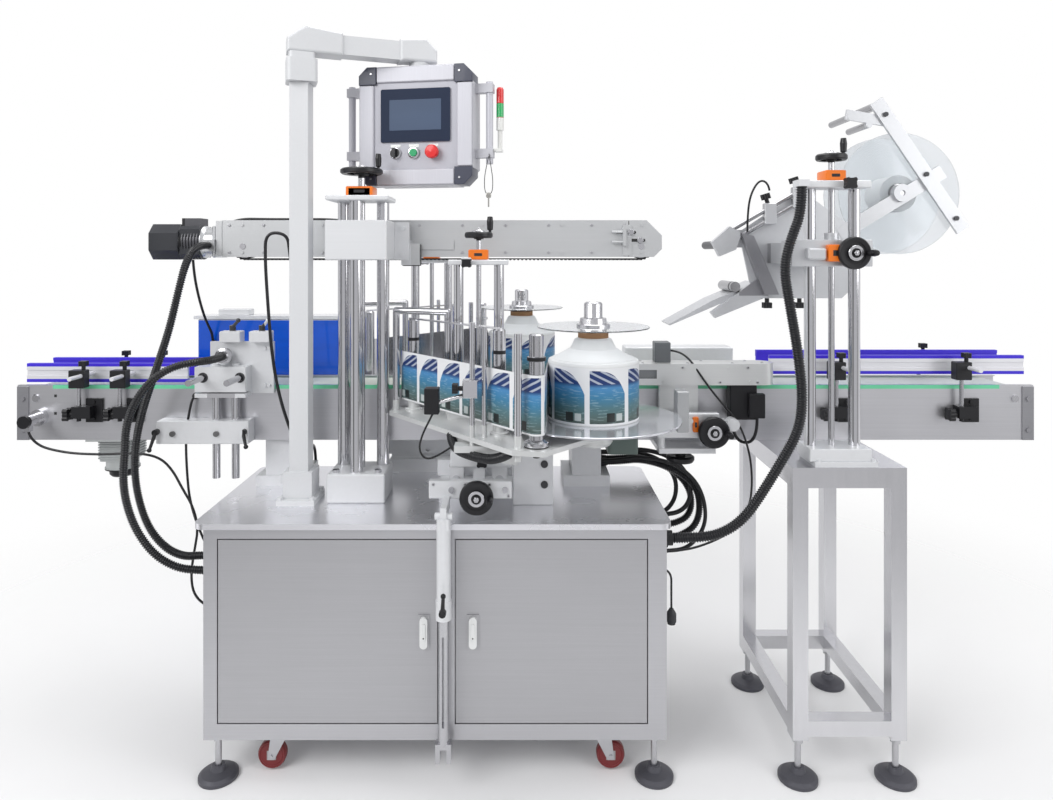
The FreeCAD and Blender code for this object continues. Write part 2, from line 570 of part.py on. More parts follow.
# Closed box behind the conveyor with its lid and the shelf that carries it
BACK_BOX_X = (-1052.0, -600.0)
BACK_BOX_Z = (957.0, 1150.0)
back_box_y = (CONVEYOR_REAR + 4, CONVEYOR_REAR + 84)
shelf = [box(x, CONVEYOR_REAR, 880, x + 60, CONVEYOR_REAR + 70, BACK_BOX_Z[0]) for x in (-960, -680)]
case = soften(box(BACK_BOX_X[0], back_box_y[0], BACK_BOX_Z[0], BACK_BOX_X[1], back_box_y[1],
                  BACK_BOX_Z[1]), 3)
lid = box(BACK_BOX_X[0] - 12, back_box_y[0] - 4, BACK_BOX_Z[1], BACK_BOX_X[1], back_box_y[1] + 6,
          BACK_BOX_Z[1] + 10)
cap_box = soften(box(-995, back_box_y[0] + 20, BACK_BOX_Z[1] + 10, -895, back_box_y[1] - 12,
                     BACK_BOX_Z[1] + 30), 2)
pieces["rear_enclosure"] = fuse(*shelf, case, lid, cap_box)

# Column with swivelling boom and control box
POLE_X = -631.0
POLE_Y = 184.0
POLE_SIZE = 52.0
POLE_WALL = 3.0
BOOM_Z = 1951.0
BOOM_RISE = 113.0
BOX_DROP = 42.0
POLE_TOP = BOOM_Z - BOOM_RISE
BOOM_SIZE = 54.0
BOOM_END_X = -315.0
BOOM_END_Y = 300.0
HEAD_BOTTOM = POLE_TOP + BODY_GAP
PIVOT_RADIUS = 16.0
half_pole = POLE_SIZE / 2

base = box(POLE_X - 52, POLE_Y - 60, TABLE_TOP, POLE_X + 52, POLE_Y + 52, TABLE_TOP + 14)
socket = box(POLE_X - 40, POLE_Y - 38, TABLE_TOP + 14, POLE_X + 40, POLE_Y + 38, TABLE_TOP + 86)
pole_tube = box(POLE_X - half_pole, POLE_Y - half_pole, TABLE_TOP + 80, POLE_X + half_pole,
                POLE_Y + half_pole, POLE_TOP)
bore = half_pole - POLE_WALL
pole_tube = pole_tube.cut(box(POLE_X - bore, POLE_Y - bore, TABLE_TOP + 90, POLE_X + bore,
                              POLE_Y + bore, POLE_TOP - 30))
pin_seat = rod((POLE_X, POLE_Y, POLE_TOP - 40), (POLE_X, POLE_Y, POLE_TOP + 1), PIVOT_RADIUS + SLIDE_FIT)
pole_bolts = [hexagon_bolt((POLE_X + sx * 44, POLE_Y + sy, TABLE_TOP + 14), (0, 0, 1), 13, 8)
              for sx in (-1, 1) for sy in (-50, 44)]
side_clamp = box(POLE_X - 52, POLE_Y - 20, TABLE_TOP + 50, POLE_X - 40, POLE_Y + 20, TABLE_TOP + 74)
pieces["pole"] = fuse(base, socket, pole_tube, side_clamp, *pole_bolts).cut(pin_seat)

boom_length = math.hypot(BOOM_END_X - POLE_X, BOOM_END_Y - POLE_Y)
boom_angle = math.degrees(math.atan2(BOOM_END_Y - POLE_Y, BOOM_END_X - POLE_X))
half_boom = BOOM_SIZE / 2
box_top = BOOM_Z - BOX_DROP


def boom():
    """Head over the column, sloping elbow, square arm, and the end elbow over the control box."""
    head = rounded_plate(-42, -42, 42, 42, HEAD_BOTTOM, HEAD_BOTTOM + 64, 14)
    ring = rounded_plate(-36, -36, 36, 36, HEAD_BOTTOM + 64, HEAD_BOTTOM + 82, 12)
    elbow = plate([(-40, -34, HEAD_BOTTOM + 82), (44, -34, HEAD_BOTTOM + 82),
                   (112, -34, BOOM_Z - half_boom - 4),
                   (112, -34, BOOM_Z + half_boom + 6), (10, -34, BOOM_Z + half_boom + 18),
                   (-40, -34, BOOM_Z + half_boom - 20)], (0, 68, 0))
    elbow = elbow.makeFillet(8, [e for e in elbow.Edges if abs(e.Vertexes[0].Y - e.Vertexes[-1].Y) < 1e-6])
    arm = box(100, -half_boom, BOOM_Z - half_boom, boom_length - 40, half_boom, BOOM_Z + half_boom)
    end = plate([(boom_length - 62, -34, BOOM_Z - half_boom - 4),
                 (boom_length - 62, -34, BOOM_Z + half_boom + 6),
                 (boom_length + 14, -34, BOOM_Z + half_boom + 14),
                 (boom_length + 48, -34, BOOM_Z + half_boom - 18),
                 (boom_length + 48, -34, box_top + 14), (boom_length - 44, -34, box_top + 14)],
                 (0, 68, 0))
    end = end.makeFillet(8, [e for e in end.Edges if abs(e.Vertexes[0].Y - e.Vertexes[-1].Y) < 1e-6])
    neck = rod((boom_length, 0, box_top + BODY_GAP), (boom_length, 0, box_top + 14), 30)
    pin = rod((0, 0, POLE_TOP - 38), (0, 0, HEAD_BOTTOM + 10), PIVOT_RADIUS)
    end_pin = rod((boom_length, 0, box_top - 28), (boom_length, 0, box_top + 20), PIVOT_RADIUS)
    solid = fuse(head, ring, elbow, arm, end, neck, pin, end_pin)
    solid.rotate(FreeCAD.Vector(0, 0, 0), FreeCAD.Vector(0, 0, 1), boom_angle)
    solid.translate(FreeCAD.Vector(POLE_X, POLE_Y, 0))
    return solid


pieces["boom_arm"] = boom()

# Control box in its own frame: x across, y from front to rear, origin under the boom's end pin
CASE_WIDTH = 345.0
CASE_HEIGHT = 350.0
CASE_DEPTH = 90.0
CASE_CORNER = 50.0
CASE_TURN = -10.0
case_bottom = box_top - CASE_HEIGHT
case_front = -38.0
case_rear = case_front + CASE_DEPTH
BUTTON_Z = 1655.0
BUTTON_HOLE = 11.0
SELECTOR_X = -61.0
START_X = -5.0
STOP_X = 54.0


def place_case(shape):
    """Turn a piece of the control box with it and set it under the boom's end."""
    shape.rotate(FreeCAD.Vector(0, 0, 0), FreeCAD.Vector(0, 0, 1), CASE_TURN)
    shape.translate(FreeCAD.Vector(BOOM_END_X, BOOM_END_Y, 0))
    return shape


def octagon(half_width, z0, z1, corner):
    return [(-half_width + corner, z0), (half_width - corner, z0), (half_width, z0 + corner),
            (half_width, z1 - corner), (half_width - corner, z1), (-half_width + corner, z1),
            (-half_width, z1 - corner), (-half_width, z0 + corner)]


def control_box():
    """Cast case with cut corners, recessed front plate, bezel, legend plates and side handles."""
    half = CASE_WIDTH / 2
    body = plate([(x, case_front, z) for x, z in octagon(half, case_bottom, box_top, CASE_CORNER)],
                 (0, CASE_DEPTH, 0))
    recess = plate([(x, case_front - 1, z)
                    for x, z in octagon(half - 24, case_bottom + 24, box_top - 24, 36)],
                   (0, 5, 0))
    body = body.cut(recess)
    holes = [rod((x, case_front - 2, BUTTON_Z), (x, case_front + 44, BUTTON_Z), BUTTON_HOLE + SLIDE_FIT)
             for x in (SELECTOR_X, START_X, STOP_X)]
    legends = [box(x - 15, case_front + 2, BUTTON_Z + 17, x + 15, case_front + 5, BUTTON_Z + 25)
               for x in (SELECTOR_X, START_X, STOP_X)]
    collars = [tube((x, case_front + 1, BUTTON_Z), (x, case_front + 5, BUTTON_Z), 15,
                    BUTTON_HOLE + SLIDE_FIT)
               for x in (SELECTOR_X, START_X, STOP_X)]
    handles = []
    for side in (-1, 1):
        x = side * (half + 40)
        handles.append(rod((x, 5, 1622), (x, 5, 1862), 10))
        for z in (1640, 1830):
            handles.append(box(side * (half - 1), -9, z, x + side * 12, 19, z + 26))
    pin_hole = rod((0, 0, box_top - 30), (0, 0, box_top + 1), PIVOT_RADIUS + SLIDE_FIT)
    solid = fuse(body, *legends, *collars, *handles)
    for hole in holes:
        solid = solid.cut(hole)
    return place_case(solid.cut(pin_hole))


pieces["control_box"] = control_box()

PANEL_X = (-104.0, 105.0)
PANEL_Z = (1687.0, 1841.0)
screen_bezel = box(PANEL_X[0], case_front - 2, PANEL_Z[0], PANEL_X[1], case_front + 4, PANEL_Z[1])
screen_window = box(PANEL_X[0] + 27, case_front - 3, PANEL_Z[0] + 34, PANEL_X[1] - 26, case_front - 1,
                    PANEL_Z[1] - 32)
pieces["touch_panel"] = place_case(screen_bezel.cut(screen_window))

knob_face = case_front + 1
selector = fuse(rod((SELECTOR_X, knob_face + 20, BUTTON_Z), (SELECTOR_X, knob_face - 8, BUTTON_Z),
                    BUTTON_HOLE),
                rod((SELECTOR_X, knob_face - 8, BUTTON_Z), (SELECTOR_X, knob_face - BODY_GAP, BUTTON_Z),
                    14),
                box(SELECTOR_X - 5, knob_face - 20, BUTTON_Z - 13, SELECTOR_X + 5, knob_face - 7,
                    BUTTON_Z + 13))
pieces["selector_switch"] = place_case(selector)
start = fuse(rod((START_X, knob_face - 9, BUTTON_Z), (START_X, knob_face + 20, BUTTON_Z), BUTTON_HOLE))
pieces["start_button"] = place_case(start)
stop = fuse(rod((STOP_X, knob_face - 12, BUTTON_Z), (STOP_X, knob_face + 20, BUTTON_Z), BUTTON_HOLE),
            revolve([(0, 8), (16, 8), (20, 13), (20, 20), (17, 25), (0, 26)],
                    (STOP_X, knob_face, BUTTON_Z), (0, -1, 0)))
pieces["emergency_stop"] = place_case(stop)

LIGHT_X = CASE_WIDTH / 2 + 66
lamp = fuse(revolve([(0, 1659), (7, 1659), (7, 1724), (11, 1724), (11, 1760), (10, 1761), (11, 1762),
                     (11, 1802), (10, 1803), (11, 1804), (11, 1844), (8, 1850), (0, 1851)],
                    (LIGHT_X, 30, 0)),
            box(CASE_WIDTH / 2 + 52.5, 5, 1659, LIGHT_X + 8, 38, 1667))
pieces["stack_light"] = place_case(lamp)

# Main tower: base block, three columns, top plate, counter; the screw turns with the handwheel
TOWER_X = (-551.0, -390.0)
TOWER_Y = (147.0, 283.0)
TOWER_BASE_TOP = 749.0
TOWER_TOP = 1522.0
TOWER_PLATE = 14.0
COLUMN_RADIUS = 18.0
COLUMN_PLACES = [(-527.0, 254.0), (-414.0, 254.0), (-474.0, 176.0)]
SCREW_X = -470.0
SCREW_Y = 224.0
SCREW_RADIUS = 10.0
COUNTER_HEIGHT = 27.0
TOWER_WHEEL_Z = 1592.0
TOWER_WHEEL_RADIUS = 60.0

tower_plate_bottom = TOWER_TOP - TOWER_PLATE
tower = [soften(box(TOWER_X[0], TOWER_Y[0], TABLE_TOP, TOWER_X[1], TOWER_Y[1], TOWER_BASE_TOP), 3),
         soften(box(TOWER_X[0] - 4, TOWER_Y[0], tower_plate_bottom, TOWER_X[1] + 8, TOWER_Y[1],
                    TOWER_TOP), 3)]
tower += [rod((x, y, TOWER_BASE_TOP - 5), (x, y, tower_plate_bottom + 5), COLUMN_RADIUS)
          for x, y in COLUMN_PLACES]
tower.append(soften(box(SCREW_X - 34, SCREW_Y - 34, TOWER_TOP - 1, SCREW_X + 34, SCREW_Y + 34,
                        TOWER_TOP + COUNTER_HEIGHT), 4))
tower += [hexagon_bolt((x, y, TOWER_BASE_TOP), (0, 0, 1), 17, 9)
          for x in (TOWER_X[0] + 22, TOWER_X[1] - 22) for y in (TOWER_Y[0] + 20,)]
screw_way = rod((SCREW_X, SCREW_Y, TOWER_BASE_TOP - 30), (SCREW_X, SCREW_Y, TOWER_TOP + 60),
                SCREW_RADIUS + SLIDE_FIT)
pieces["tower_frame"] = fuse(*tower).cut(screw_way)
pieces["tower_handwheel"] = handwheel((SCREW_X, SCREW_Y, TOWER_WHEEL_Z), (0, 0, 1), TOWER_WHEEL_RADIUS,
                                      SCREW_RADIUS, TOWER_WHEEL_Z - TOWER_BASE_TOP + 20)

# Hold-down unit on the tower: carriage, channel housing, belt on two pulleys, gear motor
HOLD_X = (-915.0, 412.0)
HOLD_Y = (335.0, 431.0)
HOLD_Z = (1350.0, 1461.0)
HOLD_WALL = 6.0
HOLD_PULLEY = 36.0
HOLD_BELT_THICK = 6.0
HOLD_BELT_WIDTH = 60.0
HOLD_PULLEY_INSET = 62.0
HOLD_CHAMFER = 46.0
CARRIAGE_X = (-556.0, -385.0)
CARRIAGE_Z = (1342.0, 1453.0)

carriage = soften(box(CARRIAGE_X[0], TOWER_Y[0], CARRIAGE_Z[0], CARRIAGE_X[1], TOWER_Y[1], CARRIAGE_Z[1]),
                  3)
flange = box(CARRIAGE_X[0] - 34, TOWER_Y[1] - 1, CARRIAGE_Z[0], CARRIAGE_X[1] + 42, TOWER_Y[1] + 18,
             CARRIAGE_Z[1])
neck = box(CARRIAGE_X[0] + 20, TOWER_Y[1] + 17, CARRIAGE_Z[0] + 12, CARRIAGE_X[1] - 20, HOLD_Y[0],
           CARRIAGE_Z[1] - 4)
flange_bolts = [hexagon_bolt((x, TOWER_Y[1] - 1, z), (0, -1, 0), 13, 7)
                for x in (CARRIAGE_X[0] - 18, CARRIAGE_X[1] + 24)
                for z in (CARRIAGE_Z[0] + 18, CARRIAGE_Z[1] - 18)]
carriage = fuse(carriage, flange, neck, *flange_bolts)
for x, y in COLUMN_PLACES:
    carriage = carriage.cut(rod((x, y, CARRIAGE_Z[0] - 1), (x, y, CARRIAGE_Z[1] + 1),
                                COLUMN_RADIUS + SLIDE_FIT))
carriage = carriage.cut(rod((SCREW_X, SCREW_Y, CARRIAGE_Z[0] - 1), (SCREW_X, SCREW_Y, CARRIAGE_Z[1] + 1),
                            SCREW_RADIUS + SLIDE_FIT))
pieces["hold_down_carriage"] = carriage

hold_middle = sum(HOLD_Y) / 2
hold_pulley_z = HOLD_Z[0] + HOLD_PULLEY - 4
hold_pulley_x = (HOLD_X[0] + HOLD_PULLEY_INSET, HOLD_X[1] - HOLD_PULLEY_INSET)
outline = [(HOLD_X[0], HOLD_Z[0]), (HOLD_X[1] - 24, HOLD_Z[0]), (HOLD_X[1], HOLD_Z[0] + 24),
           (HOLD_X[1], HOLD_Z[1] - HOLD_CHAMFER), (HOLD_X[1] - HOLD_CHAMFER, HOLD_Z[1]),
           (HOLD_X[0], HOLD_Z[1])]
channel = plate([(x, HOLD_Y[0], z) for x, z in outline], (0, HOLD_Y[1] - HOLD_Y[0], 0))
channel = channel.cut(box(HOLD_X[0] + HOLD_WALL, HOLD_Y[0] + HOLD_WALL, HOLD_Z[0] - 1, HOLD_X[1] + 1,
                          HOLD_Y[1] - HOLD_WALL, HOLD_Z[1] - HOLD_WALL))
for x in hold_pulley_x:
    channel = channel.cut(rod((x, HOLD_Y[0] - 1, hold_pulley_z), (x, HOLD_Y[1] + 1, hold_pulley_z),
                              9 + SLIDE_FIT))
extras = [box(HOLD_X[1] - 118, HOLD_Y[0] - 4, HOLD_Z[0] + 4, HOLD_X[1] - 92, HOLD_Y[0], HOLD_Z[1] - 14),
          box(-365, HOLD_Y[0] - 3, HOLD_Z[0] + 22, -215, HOLD_Y[0], HOLD_Z[0] + 50),
          box(-369, HOLD_Y[0] - 34, HOLD_Z[0] - 24, -315, HOLD_Y[0], HOLD_Z[0] + 40),
          box(HOLD_X[0] - 18, HOLD_Y[0] - 2, HOLD_Z[0] + 4, HOLD_X[0], HOLD_Y[1] + 2, HOLD_Z[1] - 2)]
HOUSING_SCREWS = 6
for k in range(HOUSING_SCREWS):
    x = HOLD_X[0] + 60 + k * (HOLD_X[1] - HOLD_X[0] - 120) / (HOUSING_SCREWS - 1)
    for z in (HOLD_Z[0] + 14, HOLD_Z[1] - 14):
        extras.append(rod((x, HOLD_Y[0] - 3, z), (x, HOLD_Y[0] + 1, z), 5))
tension = [rod((x, HOLD_Y[0] - 12, z), (x + 34, HOLD_Y[0] - 12, z), 4)
           for x, z in ((HOLD_X[1] - 152, HOLD_Z[1] - 36), (HOLD_X[1] - 152, HOLD_Z[1] - 66))]
extras += tension + [box(HOLD_X[1] - 120, HOLD_Y[0] - 18, HOLD_Z[0] + 34, HOLD_X[1] - 110, HOLD_Y[0],
                         HOLD_Z[1] - 24)]
pieces["hold_down_housing"] = fuse(channel, *extras)

pieces["hold_down_belt"] = belt_loop(hold_pulley_x[0], hold_pulley_x[1], HOLD_PULLEY + SLIDE_FIT,
                                     HOLD_BELT_THICK, hold_middle - HOLD_BELT_WIDTH / 2,
                                     hold_middle + HOLD_BELT_WIDTH / 2, hold_pulley_z)
for name, x in zip(("drive", "idler"), hold_pulley_x):
    pieces["hold_down_" + name + "_pulley"] = roller(
        x, hold_pulley_z, hold_middle - HOLD_BELT_WIDTH / 2 - 3, hold_middle + HOLD_BELT_WIDTH / 2 + 3,
        HOLD_PULLEY, 9, HOLD_Y[0] - 2, HOLD_Y[1] + 2)

motor_z = HOLD_Z[0] + 46
motor_end = HOLD_X[0] - 18
hold_motor = [soften(box(motor_end - 14, hold_middle - 48, motor_z - 48, motor_end, hold_middle + 48,
                         motor_z + 48), 4)]
hose_plug = (motor_end - 19, HOLD_Y[0] - 13, motor_z - 11)
hold_motor.append(box(hose_plug[0] - 18, hose_plug[1], hose_plug[2] - 18, hose_plug[0] + 18,
                      hold_middle - 36,
                      hose_plug[2] + 18))
hold_motor.append(revolve([(0, 14), (44, 14), (44, 40), (48, 44), (50, 50), (50, 108), (52, 112),
                           (52, 196),
                           (46, 202), (0, 202)], (motor_end, hold_middle, motor_z), (-1, 0, 0)))
hold_motor.append(box(motor_end - 112, hold_middle - 28, motor_z + 40, motor_end - 56, hold_middle + 28,
                      motor_z + 72))
for k in range(6):
    hold_motor.append(revolve([(40, 0), (54, 0), (54, 3), (40, 3)],
                              (motor_end - 56 - 9 * k, hold_middle, motor_z), (-1, 0, 0)))
pieces["hold_down_motor"] = fuse(*hold_motor)

# Front labelling head: cross slide on the table, mast on its saddle, head frame on the mast
SLIDE_X = (-256.0, -37.0)
SLIDE_Y = (50.0, 276.0)
SLIDE_Z = (714.0, 761.0)
SLIDE_BAR = 24.0
GUIDE_RADIUS = 12.0
GUIDE_Z = 742.0
GUIDE_X = (-190.0, -72.0)
CROSS_SCREW_X = -128.0
CROSS_SCREW_RADIUS = 7.0
CROSS_SCREW_Z = 729.0
CROSS_WHEEL_Y = 14.0
CROSS_WHEEL_RADIUS = 44.0
SADDLE_Y = (121.0, 179.0)
SADDLE_Z = (776.0, 822.0)
MAST_X = (-186.0, -74.0)
MAST_Y = 150.0
MAST_RADIUS = 14.0
MAST_TOP = 1343.0
MAST_PLATE = 14.0
MAST_SCREW_X = -130.0
MAST_SCREW_RADIUS = 7.0
MAST_WHEEL_Z = 1408.0
MAST_WHEEL_RADIUS = 39.0
HEAD_Z = (850.0, 936.0)
DECK_Z = (897.0, 909.0)
REEL_X = 175.0
REEL_Y = 30.0
LOWER_DISC_RADIUS = 227.0
LOWER_DISC_Z = 930.0
ROLL_RADIUS = 118.0
ROLL_HEIGHT = 145.0
REEL_SHAFT_RADIUS = 10.0
ROLLER_PLACES = [(-323.0, 242.0, 16.0), (-67.0, -49.0, 16.0), (23.0, -170.0, 17.5)]
FRONT_ROLLER_TOP = 1172.0
WEB_END = (-362.0, 262.0)
WEB_THICK = 0.6

bars = [soften(box(SLIDE_X[0], y, SLIDE_Z[0], SLIDE_X[1], y + SLIDE_BAR, SLIDE_Z[1]), 2)
        for y in (SLIDE_Y[0], SLIDE_Y[1] - SLIDE_BAR)]
guides = [rod((x, SLIDE_Y[0] + 2, GUIDE_Z), (x, SLIDE_Y[1] - 2, GUIDE_Z), GUIDE_RADIUS) for x in GUIDE_X]
riser = box(SLIDE_X[0] + 12, SLIDE_Y[1] - 90, TABLE_TOP, SLIDE_X[1] + 110, SLIDE_Y[1], SLIDE_Z[0] + 1)
side_plate = soften(box(SLIDE_X[1] + 2, SLIDE_Y[0] + 84, TABLE_TOP, SLIDE_X[1] + 112, SLIDE_Y[0] + 108,
                        808), 2)
side_foot = box(SLIDE_X[1] + 2, SLIDE_Y[0] + 106, TABLE_TOP, SLIDE_X[1] + 112, SLIDE_Y[1] - 88,
                TABLE_TOP + 12)
plugs = [rod((SLIDE_X[1] + 88, SLIDE_Y[0] + 80, z), (SLIDE_X[1] + 88, SLIDE_Y[0] + 86, z), 10)
         for z in (726, 782)]
bar_screws = [rod((x, SLIDE_Y[0] - 5, 738), (x, SLIDE_Y[0], 738), 8) for x in (SLIDE_X[0] + 60,
                                                                               SLIDE_X[1] - 18)]
base = fuse(*bars, *guides, riser, side_plate, side_foot, *plugs, *bar_screws)
base = base.cut(rod((CROSS_SCREW_X, SLIDE_Y[0] - 1, CROSS_SCREW_Z),
                    (CROSS_SCREW_X, SLIDE_Y[1] + 1, CROSS_SCREW_Z),
                    CROSS_SCREW_RADIUS + SLIDE_FIT))

# Strut hanging from the slide's front bar: tube, clamp lever, slotted rod, clevis
STRUT_X = -208.0
STRUT_Y = -34.0
STRUT_TOP = 712.0
STRUT_TUBE_END = 440.0
STRUT_END = 82.0
strut_tube = tube((STRUT_X, STRUT_Y, STRUT_TUBE_END), (STRUT_X, STRUT_Y, STRUT_TOP - 20), 18, 13.5)
collar = tube((STRUT_X, STRUT_Y, STRUT_TUBE_END), (STRUT_X, STRUT_Y, STRUT_TUBE_END + 48), 20, 13.5)
eye = [box(STRUT_X - 14, STRUT_Y - 16, STRUT_TOP - 46, STRUT_X + 14, STRUT_Y + 16, STRUT_TOP - 18),
       rod((STRUT_X - 22, STRUT_Y, STRUT_TOP - 14), (STRUT_X + 22, STRUT_Y, STRUT_TOP - 14), 9),
       box(STRUT_X - 8, STRUT_Y - 12, STRUT_TOP - 20, STRUT_X + 8, SLIDE_Y[0] + 2, STRUT_TOP + 10)]
inner = rod((STRUT_X, STRUT_Y, STRUT_END + 40), (STRUT_X, STRUT_Y, STRUT_TUBE_END + 70), 13.5)
inner = inner.cut(box(STRUT_X - 3, STRUT_Y - 20, STRUT_END + 90, STRUT_X + 3, STRUT_Y + 20,
                      STRUT_TUBE_END - 40))
ears = [box(STRUT_X + side * 8, STRUT_Y - 12, STRUT_END, STRUT_X + side * 20, STRUT_Y + 12,
            STRUT_END + 46)
        for side in (-1, 1)]
lever = clamp_lever((STRUT_X, STRUT_Y - 18, STRUT_TUBE_END + 26), (0, -1, 0), (4, -4, 52))
strut = fuse(strut_tube, collar, *eye, inner, *ears, lever,
             box(STRUT_X - 20, STRUT_Y - 12, STRUT_END + 34, STRUT_X + 20, STRUT_Y + 12, STRUT_END + 48))
pieces["cross_slide_base"] = fuse(base, strut)

pieces["cross_handwheel"] = handwheel((CROSS_SCREW_X, CROSS_WHEEL_Y, CROSS_SCREW_Z), (0, -1, 0),
                                      CROSS_WHEEL_RADIUS, CROSS_SCREW_RADIUS,
                                      SLIDE_Y[1] - CROSS_WHEEL_Y - 8)

saddle = soften(box(-206, SADDLE_Y[0], SADDLE_Z[0], -38, SADDLE_Y[1], SADDLE_Z[1]), 3)
bearings = []
for x in GUIDE_X:
    block = fuse(rod((x, SADDLE_Y[0] + 4, GUIDE_Z), (x, SADDLE_Y[1] - 4, GUIDE_Z), GUIDE_RADIUS + 8),
                 box(x - 20, SADDLE_Y[0] + 4, GUIDE_Z + 4, x + 20, SADDLE_Y[1] - 4, SADDLE_Z[0] + 1))
    bearings.append(block)
nut = box(CROSS_SCREW_X - 16, SADDLE_Y[0] + 10, CROSS_SCREW_Z - 14, CROSS_SCREW_X + 16, SADDLE_Y[1] - 10,
          SADDLE_Z[0] + 1)
mast_plate = soften(box(-212, MAST_Y - 34, MAST_TOP - MAST_PLATE, -48, MAST_Y + 34, MAST_TOP), 2)
mast_columns = [rod((x, MAST_Y, SADDLE_Z[1] - 20), (x, MAST_Y, MAST_TOP - 5),
                    MAST_RADIUS) for x in MAST_X]
mast_counter = soften(box(MAST_SCREW_X - 26, MAST_Y - 30, MAST_TOP - 1, MAST_SCREW_X + 26, MAST_Y + 26,
                          MAST_TOP + 27), 3)
mast_knob = star_knob((-160, MAST_Y - 34, MAST_TOP - 7), (0, -1, 0), 17, 30)
saddle_knob = star_knob((-118, SADDLE_Y[0], 800), (0, -1, 0), 17, 40)
mast = fuse(saddle, *bearings, nut, mast_plate, *mast_columns, mast_counter, mast_knob, saddle_knob)
for x in GUIDE_X:
    mast = mast.cut(rod((x, 0, GUIDE_Z), (x, 300, GUIDE_Z), GUIDE_RADIUS + SLIDE_FIT))
mast = mast.cut(rod((CROSS_SCREW_X, 60, CROSS_SCREW_Z), (CROSS_SCREW_X, 200, CROSS_SCREW_Z),
                    CROSS_SCREW_RADIUS + SLIDE_FIT))
mast = mast.cut(rod((MAST_SCREW_X, MAST_Y, SADDLE_Z[1] - 24), (MAST_SCREW_X, MAST_Y, MAST_TOP + 40),
                    MAST_SCREW_RADIUS + SLIDE_FIT))
pieces["front_mast"] = mast
pieces["mast_handwheel"] = handwheel((MAST_SCREW_X, MAST_Y, MAST_WHEEL_Z), (0, 0, 1), MAST_WHEEL_RADIUS,
                                     MAST_SCREW_RADIUS, MAST_WHEEL_Z - SADDLE_Z[1] + 18)

deck_top = DECK_Z[1]
head_block = soften(box(-214, MAST_Y - 34, HEAD_Z[0], -46, MAST_Y + 34, HEAD_Z[1]), 3)
deck_outline = [(-390, 222), (-34, -206), (40, -222), (66, -190), (232, -10), (232, 70), (60, 92),
                (-40, 190),
                (-300, 280), (-390, 280)]
deck = plate([(x, y, DECK_Z[0]) for x, y in deck_outline], (0, 0, deck_top - DECK_Z[0]))
wedge_outline = [(-196, 60), (-60, 40), (-22, -120), (-172, -30)]
wedge = plate([(x, y, HEAD_Z[0]) for x, y in wedge_outline], (0, 0, DECK_Z[0] - HEAD_Z[0] + 1))
reel_bearing = revolve([(0, 0), (44, 0), (50, 8), (50, LOWER_DISC_Z - BODY_GAP - 864),
                        (0, LOWER_DISC_Z - BODY_GAP - 864)],
                       (REEL_X, REEL_Y, 864))
head_fixed = [head_block, deck, wedge, reel_bearing]
for x, y, radius in ROLLER_PLACES[:2]:
    head_fixed.append(rod((x, y, deck_top - 1), (x, y, FRONT_ROLLER_TOP), 7))
    head_fixed.append(revolve([(0, 0), (radius + 8, 0), (radius + 8, 5), (radius, 8),
                               (radius, FRONT_ROLLER_TOP - deck_top - 4),
                               (radius - 3, FRONT_ROLLER_TOP - deck_top),
                               (0, FRONT_ROLLER_TOP - deck_top)],
                              (x, y, deck_top)))
first_roller = ROLLER_PLACES[0]
second_roller = ROLLER_PLACES[1]
tie = plate([(first_roller[0] - 13, first_roller[1] - 11, FRONT_ROLLER_TOP),
             (second_roller[0] - 13, second_roller[1] - 11, FRONT_ROLLER_TOP),
             (second_roller[0] + 2, second_roller[1] + 2, FRONT_ROLLER_TOP),
             (first_roller[0] - 3, first_roller[1] - 1, FRONT_ROLLER_TOP)], (0, 0, 4))
head_fixed.append(tie)
bent_run = [(-374, 244, deck_top - 2), (-374, 244, 1196), (-216, 176, 1196), (-216, 176, deck_top - 2)]
for start, end in zip(bent_run, bent_run[1:]):
    head_fixed.append(rod(start, end, 10))
head_fixed += [Part.makeSphere(10, FreeCAD.Vector(*corner)) for corner in bent_run[1:3]]
head_fixed += [rod((x, -78, deck_top - 40), (x, -78, z), 6.5) for x, z in ((-133, 1190), (-103, 1180))]
head_fixed.append(soften(box(-156, -94, 1006, -118, -62, 1050), 2))
head_fixed.append(star_knob((-156, -78, 1028), (-1, 0, 0), 15, 26))
head_fixed.append(rod((-20, -186, deck_top - 30), (-20, -186, 1174), 9))
head_fixed.append(box(-176, -100, deck_top - 34, -60, -56, deck_top - 18))
sensor_arm = rod((-228, -78, 990), (-150, -78, 1012), 5)
head_fixed += [soften(box(-250, -92, 966, -214, -62, 1030), 2), sensor_arm]
feed_motor = rounded_plate(218, 60, 298, 140, 828, DECK_Z[0], 10)
motor_arm = box(205, 30, DECK_Z[0] - 1, 300, 142, DECK_Z[0] + 9)
head_fixed += [feed_motor, motor_arm]
bracket_block = soften(box(405, 84, 880, 437, 130, 990), 2)
head_fixed += [bracket_block, box(290, 94, DECK_Z[0] - 1, 410, 118, DECK_Z[0] + 9)]
head = fuse(*head_fixed)
for x in MAST_X:
    head = head.cut(rod((x, MAST_Y, 800), (x, MAST_Y, 1000), MAST_RADIUS + SLIDE_FIT))
head = head.cut(rod((MAST_SCREW_X, MAST_Y, 800), (MAST_SCREW_X, MAST_Y, 1000),
                    MAST_SCREW_RADIUS + SLIDE_FIT))
third_roller = ROLLER_PLACES[2]
head = head.cut(rod((third_roller[0], third_roller[1], 860), (third_roller[0], third_roller[1], 920),
                    8 + SLIDE_FIT))
head = head.cut(rod((REEL_X, REEL_Y, 880), (REEL_X, REEL_Y, 940), REEL_SHAFT_RADIUS + SLIDE_FIT))

web_low = LOWER_DISC_Z + 6.5
web_high = web_low + ROLL_HEIGHT - 4


